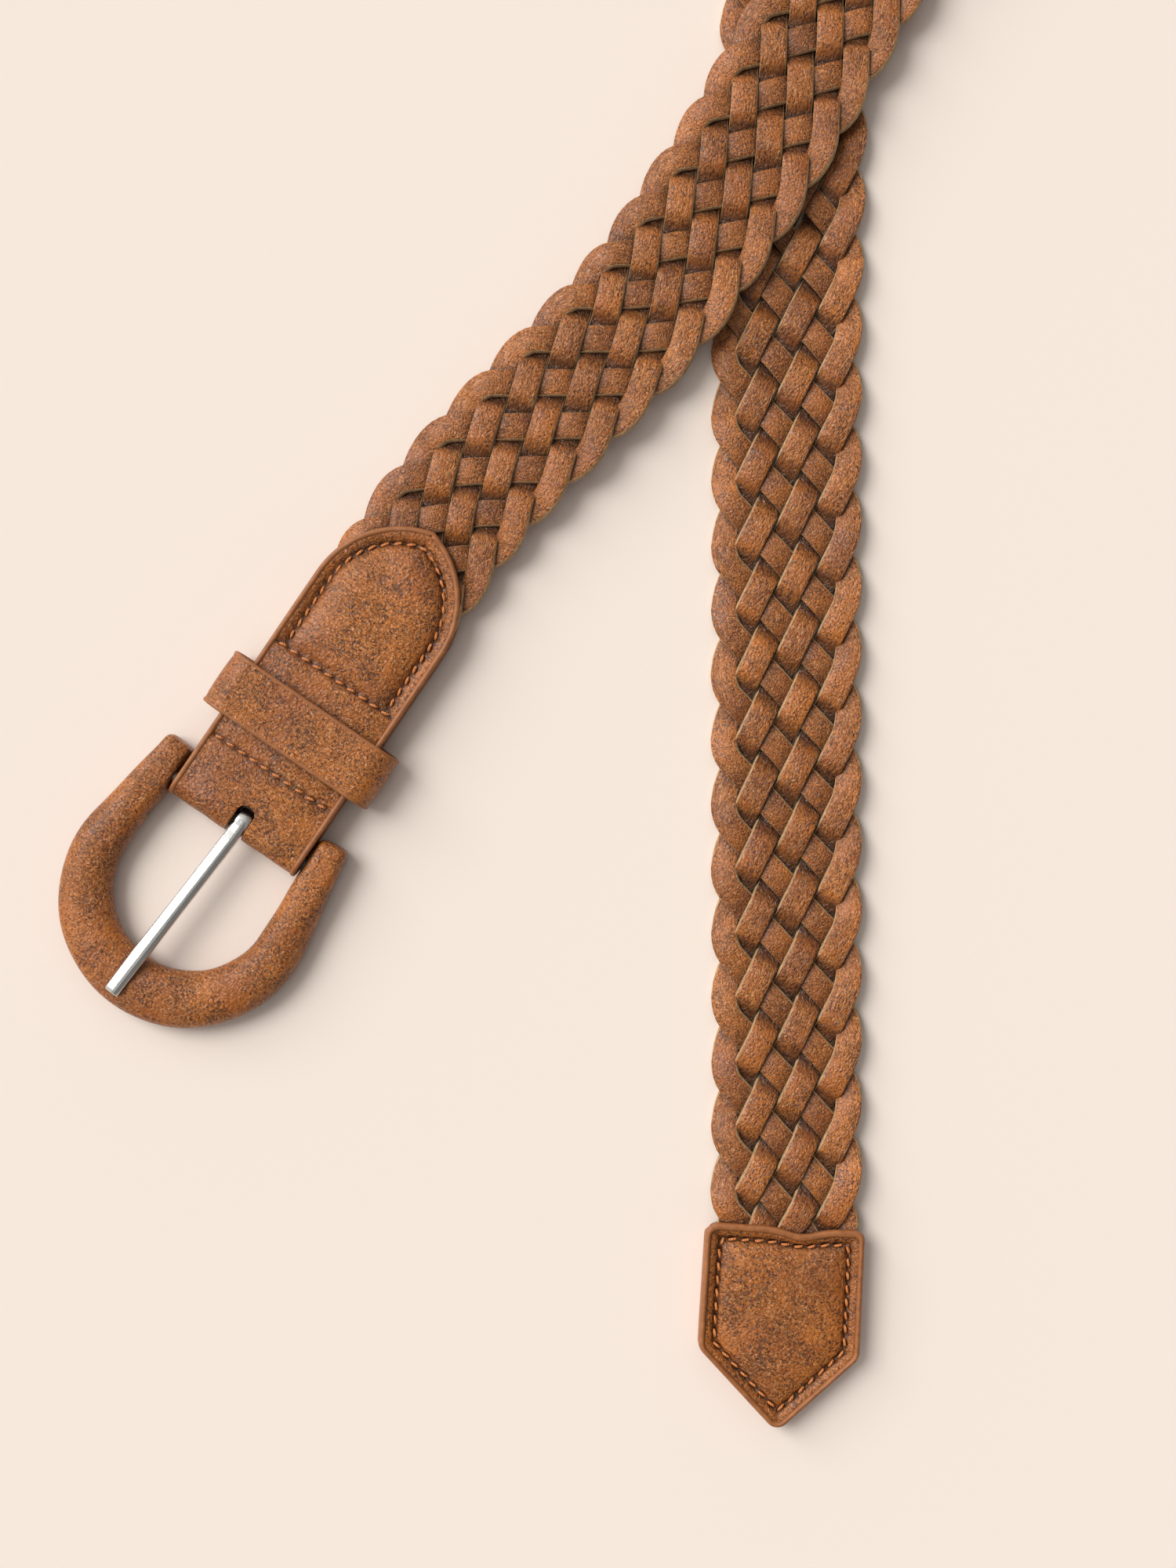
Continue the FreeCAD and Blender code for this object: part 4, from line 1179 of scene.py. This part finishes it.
def rounded_outline(corners, radii, spacing):
    """Evenly spaced points round a convex polygon with rounded corners."""
    corners = [np.array(corner, float) for corner in corners]
    count = len(corners)
    points = []
    for index, corner in enumerate(corners):
        before = corners[index - 1] - corner
        after = corners[(index + 1) % count] - corner
        before /= np.linalg.norm(before)
        after /= np.linalg.norm(after)
        half = math.acos(np.clip(np.dot(before, after), -1, 1)) / 2
        radius = radii[index]
        reach = radius / math.tan(half)
        bisector = (before + after) / np.linalg.norm(before + after)
        centre = corner + bisector * radius / math.sin(half)
        start = corner + before * reach - centre
        end = corner + after * reach - centre
        a0 = math.atan2(start[1], start[0])
        swept = math.atan2(start[0] * end[1] - start[1] * end[0], np.dot(start, end))
        steps = max(3, int(abs(swept) * radius / spacing) + 2)
        for step in range(steps + 1):
            angle = a0 + swept * step / steps
            points.append(centre + radius * np.array([math.cos(angle), math.sin(angle)]))
    full = []
    for a, b in zip(points, points[1:] + points[:1]):
        gap = np.linalg.norm(b - a)
        pieces = max(1, int(gap / spacing))
        for step in range(pieces):
            full.append(a + (b - a) * step / pieces)
    return full


def tip_dip(x, y):
    """The tip's top edge sags a little to the right of its middle."""
    return -1.6 * np.exp(-((x - 4.0) / 5.0) ** 2) * ease(y, TIP_LONG - 9, TIP_LONG)


def tip_sides(x, y):
    """(distance, place along) of a point of the tip for each of its five sides."""
    found = []
    count = len(TIP_CORNERS)
    for index in range(count):
        a = np.array(TIP_CORNERS[index])
        b = np.array(TIP_CORNERS[(index + 1) % count])
        ahead = (b - a) / np.linalg.norm(b - a)
        distance = ahead[0] * (y - a[1]) - ahead[1] * (x - a[0])
        found.append((distance, ahead[0] * (x - a[0]) + ahead[1] * (y - a[1])))
    return found


def tip_seam(x, y):
    """Signed distance inside the tip's seam, and how far along it."""
    distance, along = min(tip_sides(x, y))
    return distance - SEAM_INSET, along


def tip_surface_height(x, y):
    """Top of the tip's front leather: a border that sinks to the seam, puffed inside it."""
    inside, along = tip_seam(x, y)
    smooth = -1.6 * math.log(sum(math.exp(-side[0] / 1.6) for side in tip_sides(x, y)))
    puff = TIP_BORDER + 2.15 * (1 - math.exp(-max(smooth - SEAM_INSET + 0.4, 0.0) / 3.2))
    border = TIP_BORDER + 0.75 * float(ease(-inside, 0.0, 2.2))
    blend = float(ease(inside, -0.25, 0.25))
    return border + (puff - border) * blend - float(seam_groove(inside, along))


def inset_polygon(corners, inset):
    """The corners of a polygon moved inward by an even distance."""
    moved = []
    count = len(corners)
    for index in range(count):
        here = np.array(corners[index], float)
        before = here - np.array(corners[index - 1], float)
        after = np.array(corners[(index + 1) % count], float) - here
        before /= np.linalg.norm(before)
        after /= np.linalg.norm(after)
        normal_one = np.array([-before[1], before[0]])
        normal_two = np.array([-after[1], after[0]])
        bisector = normal_one + normal_two
        bisector /= np.linalg.norm(bisector)
        moved.append(tuple(here + bisector * inset / np.dot(bisector, normal_one)))
    return moved


def make_tip():
    """Front leather puffed inside its seam, back leather, rolled painted edge and seam."""
    outline = rounded_outline(TIP_CORNERS, TIP_RADII, 0.45)
    centre_low, centre_high = np.array([0.0, 24.0]), np.array([0.0, 32.0])
    insets = [0.6] + list(np.arange(0.9, 6.4, 0.25)) + [6.8, 7.4, 8.2, 9.2, 10.4, 11.8, 13.4, 15.0]
    count = len(outline)
    rows = []
    seams = []
    normals = []
    for index in range(count):
        ahead = outline[(index + 1) % count] - outline[index - 1]
        ahead /= np.linalg.norm(ahead)
        normals.append(np.array([-ahead[1], ahead[0]]))
    for index, point in enumerate(outline):
        target = centre_low + (centre_high - centre_low) * np.clip((point[1] - 14) / 28, 0, 1)
        ray = target - point
        reach = np.linalg.norm(ray)
        ray /= reach
        lean = max(0.6, float(np.dot(ray, normals[index])))
        row = []
        for order, inset in enumerate(insets):
            distance = min(inset / lean, reach * (0.80 + 0.006 * order))
            x, y = point + ray * distance
            swell = 0.12 * math.sin(x * 0.33 + 1.0) * math.sin(y * 0.27) * float(ease(inset, 4, 9))
            height = tip_surface_height(x, y) + swell
            # Painted shade along the tip's seam, stored as the "seam" attribute.
            seams.append(math.exp(-(tip_seam(x, y)[0] / 0.55) ** 2))
            row.append(tip_to_table((x, y + float(tip_dip(x, y)), height)))
        rows.append(row)
    rows = np.array(rows)
    verts = rows.reshape(-1, 3).tolist()
    rings = len(insets)
    faces = []
    for index in range(count):
        following = (index + 1) % count
        for ring in range(rings - 1):
            faces.append((index * rings + ring, following * rings + ring,
                          following * rings + ring + 1, index * rings + ring + 1))
    faces.append(tuple(index * rings + rings - 1 for index in range(count)))
    base = len(verts)
    for point, normal in zip(outline, normals):
        x, y = point + normal * 0.6
        verts.append(list(tip_to_table((x, y + float(tip_dip(x, y)), 4.9))))
    for index in range(count):
        following = (index + 1) % count
        faces.append((index * rings, base + index, base + following, following * rings))
    faces.append(tuple(base + index for index in reversed(range(count))))
    front = finish_mesh("tip_front_leather", verts, faces)
    store_painted_shade(front, seams + [0.0] * count)
    dress(front, "strap", "tan_leather", ["tab"], "tip_front", "tip_padding")
    make_tip_back(outline, normals)
    make_tip_edge(outline, normals)
    make_tip_stitches()


def make_tip_back(outline, normals):
    """Flat leather against the table, its edges a little rounded."""
    levels = [(1.6, 0.25), (0.9, 0.05), (0.75, 0.4), (0.75, 1.0), (1.2, 1.2)]
    rings = []
    for inset, height in levels:
        inner = [point + normal * inset for point, normal in zip(outline, normals)]
        rings.append([tip_to_table((*point, height)) for point in inner])
    back = tube("tip_back_leather", rings)
    dress(back, "strap", "tan_leather", ["tab"], "tip_back")


def make_tip_edge(outline, normals):
    """A rolled edge: full height round the sides and point, one leather thick across the top."""
    rings = []
    for point, normal in zip(outline, normals):
        x, y = point + normal * 0.85
        y += float(tip_dip(x, y))
        across_top = float(ease(point[1], TIP_LONG - 3.2, TIP_LONG - 0.6))
        low = 0.05 + 4.75 * across_top
        high = 6.9 - 0.1 * across_top
        middle = (low + high) / 2
        ring = []
        for step in range(20):
            wide, rise = squircle(2 * math.pi * step / 20, 0.75, 0.62)
            wide *= 0.86
            rise *= (high - low) / 2
            waist = 0.16 * math.exp(-((middle + rise - 3.4) / 0.5) ** 2) * (1 - across_top)
            offset = -normal * (wide - math.copysign(waist, wide))
            ring.append(tip_to_table((x + offset[0], y + offset[1], middle + rise)))
        rings.append(ring)
    edge = tube("tip_painted_edge", rings, closed_rows=True)
    dress(edge, "strap", "edge_paint", ["edge"], "tip_edge")


def make_tip_stitches():
    """The seam that follows the tip's outline."""
    line = rounded_outline(inset_polygon(TIP_CORNERS, SEAM_INSET), [0.5] * 5, 0.6)
    points = [point + np.array([0, float(tip_dip(point[0], point[1]))]) for point in line]
    points.append(points[0])
    made = []
    for rings in seam_between(points, lambda x, y: TIP_THREAD_LEVEL):
        made.append([[tip_to_table(point) for point in ring] for ring in rings])
    stitch_set("tip_thread", made, "tip_stitches")


# ------------------------------------------------------------ table, light and camera
def make_stage():
    """A table large enough to fill the picture."""
    bpy.ops.mesh.primitive_plane_add(size=12.0, location=(0.06, 0.1, TABLE * MM))
    table = bpy.context.object
    table.name = "table_top"
    table.data.materials.append(table_material())


def make_camera():
    """Straight above the table, turned as the photo is."""
    data = bpy.data.cameras.new("camera")
    data.sensor_width = 36.0
    data.lens = 36.0 * VIEW_DISTANCE / VIEW_HEIGHT
    data.clip_start = 0.01
    camera = bpy.data.objects.new("camera", data)
    camera.location = (VIEW_CENTRE[0] * MM, VIEW_CENTRE[1] * MM, (TABLE + 3.0 + VIEW_DISTANCE) * MM)
    camera.rotation_euler = (0, 0, PHOTO_TURN)
    bpy.context.scene.collection.objects.link(camera)
    bpy.context.scene.camera = camera


def photo_direction(right, up, height):
    """A direction given along the picture's right, up and towards the viewer."""
    c, s = math.cos(PHOTO_TURN), math.sin(PHOTO_TURN)
    return Vector((right * c - up * s, right * s + up * c, height)).normalized()


def make_lights():
    """A broad key light, a low cool light for the sheen, and a room brighter on their side."""
    # Each lamp is (name, direction towards it, strength, spread in degrees, colour).
    lamps = [("key", photo_direction(-0.85, 0.52, 1.25), 1.98, 34, (1.0, 0.985, 0.965)),
             ("sheen", photo_direction(-0.9, 0.75, 0.55), 0.60, 24, (0.95, 0.94, 1.0))]
    for name, towards, energy, angle, colour in lamps:
        sun = bpy.data.lights.new(name, "SUN")
        sun.energy = energy
        sun.angle = math.radians(angle)
        sun.color = colour
        lamp = bpy.data.objects.new(name, sun)
        lamp.rotation_euler = towards.to_track_quat("Z", "Y").to_euler()
        bpy.context.scene.collection.objects.link(lamp)
    world = bpy.data.worlds.new("soft_room")
    bpy.context.scene.world = world
    world.use_nodes = True
    tree = world.node_tree
    background = tree.nodes["Background"]
    coords = tree.nodes.new("ShaderNodeTexCoord")
    dot = tree.nodes.new("ShaderNodeVectorMath")
    dot.operation = "DOT_PRODUCT"
    dot.inputs[1].default_value = photo_direction(-0.8, 0.5, 0.35)
    tree.links.new(coords.outputs["Generated"], dot.inputs[0])
    ramp = tree.nodes.new("ShaderNodeValToRGB")
    ramp.color_ramp.elements[0].position = 0.0
    ramp.color_ramp.elements[0].color = (0.28, 0.275, 0.27, 1)
    ramp.color_ramp.elements[1].position = 0.45
    ramp.color_ramp.elements[1].color = (1.0, 0.985, 0.965, 1)
    tree.links.new(dot.outputs["Value"], ramp.inputs[0])
    tree.links.new(ramp.outputs[0], background.inputs[0])
    background.inputs[1].default_value = 0.70


# ------------------------------------------------------------ build
bpy.context.scene.view_settings.view_transform = "Standard"
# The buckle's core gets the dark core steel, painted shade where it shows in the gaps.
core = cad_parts["buckle_frame"]
core.data.materials.clear()
core.data.materials.append(MATERIALS["core"])

for strand_number in range(1, 8):
    make_strand(strand_number)
make_tab()
make_tab_edge()
make_tab_stitches()
make_buckle_cover()
make_prong()
make_keeper()
make_tip()
make_stage()
make_camera()
make_lights()
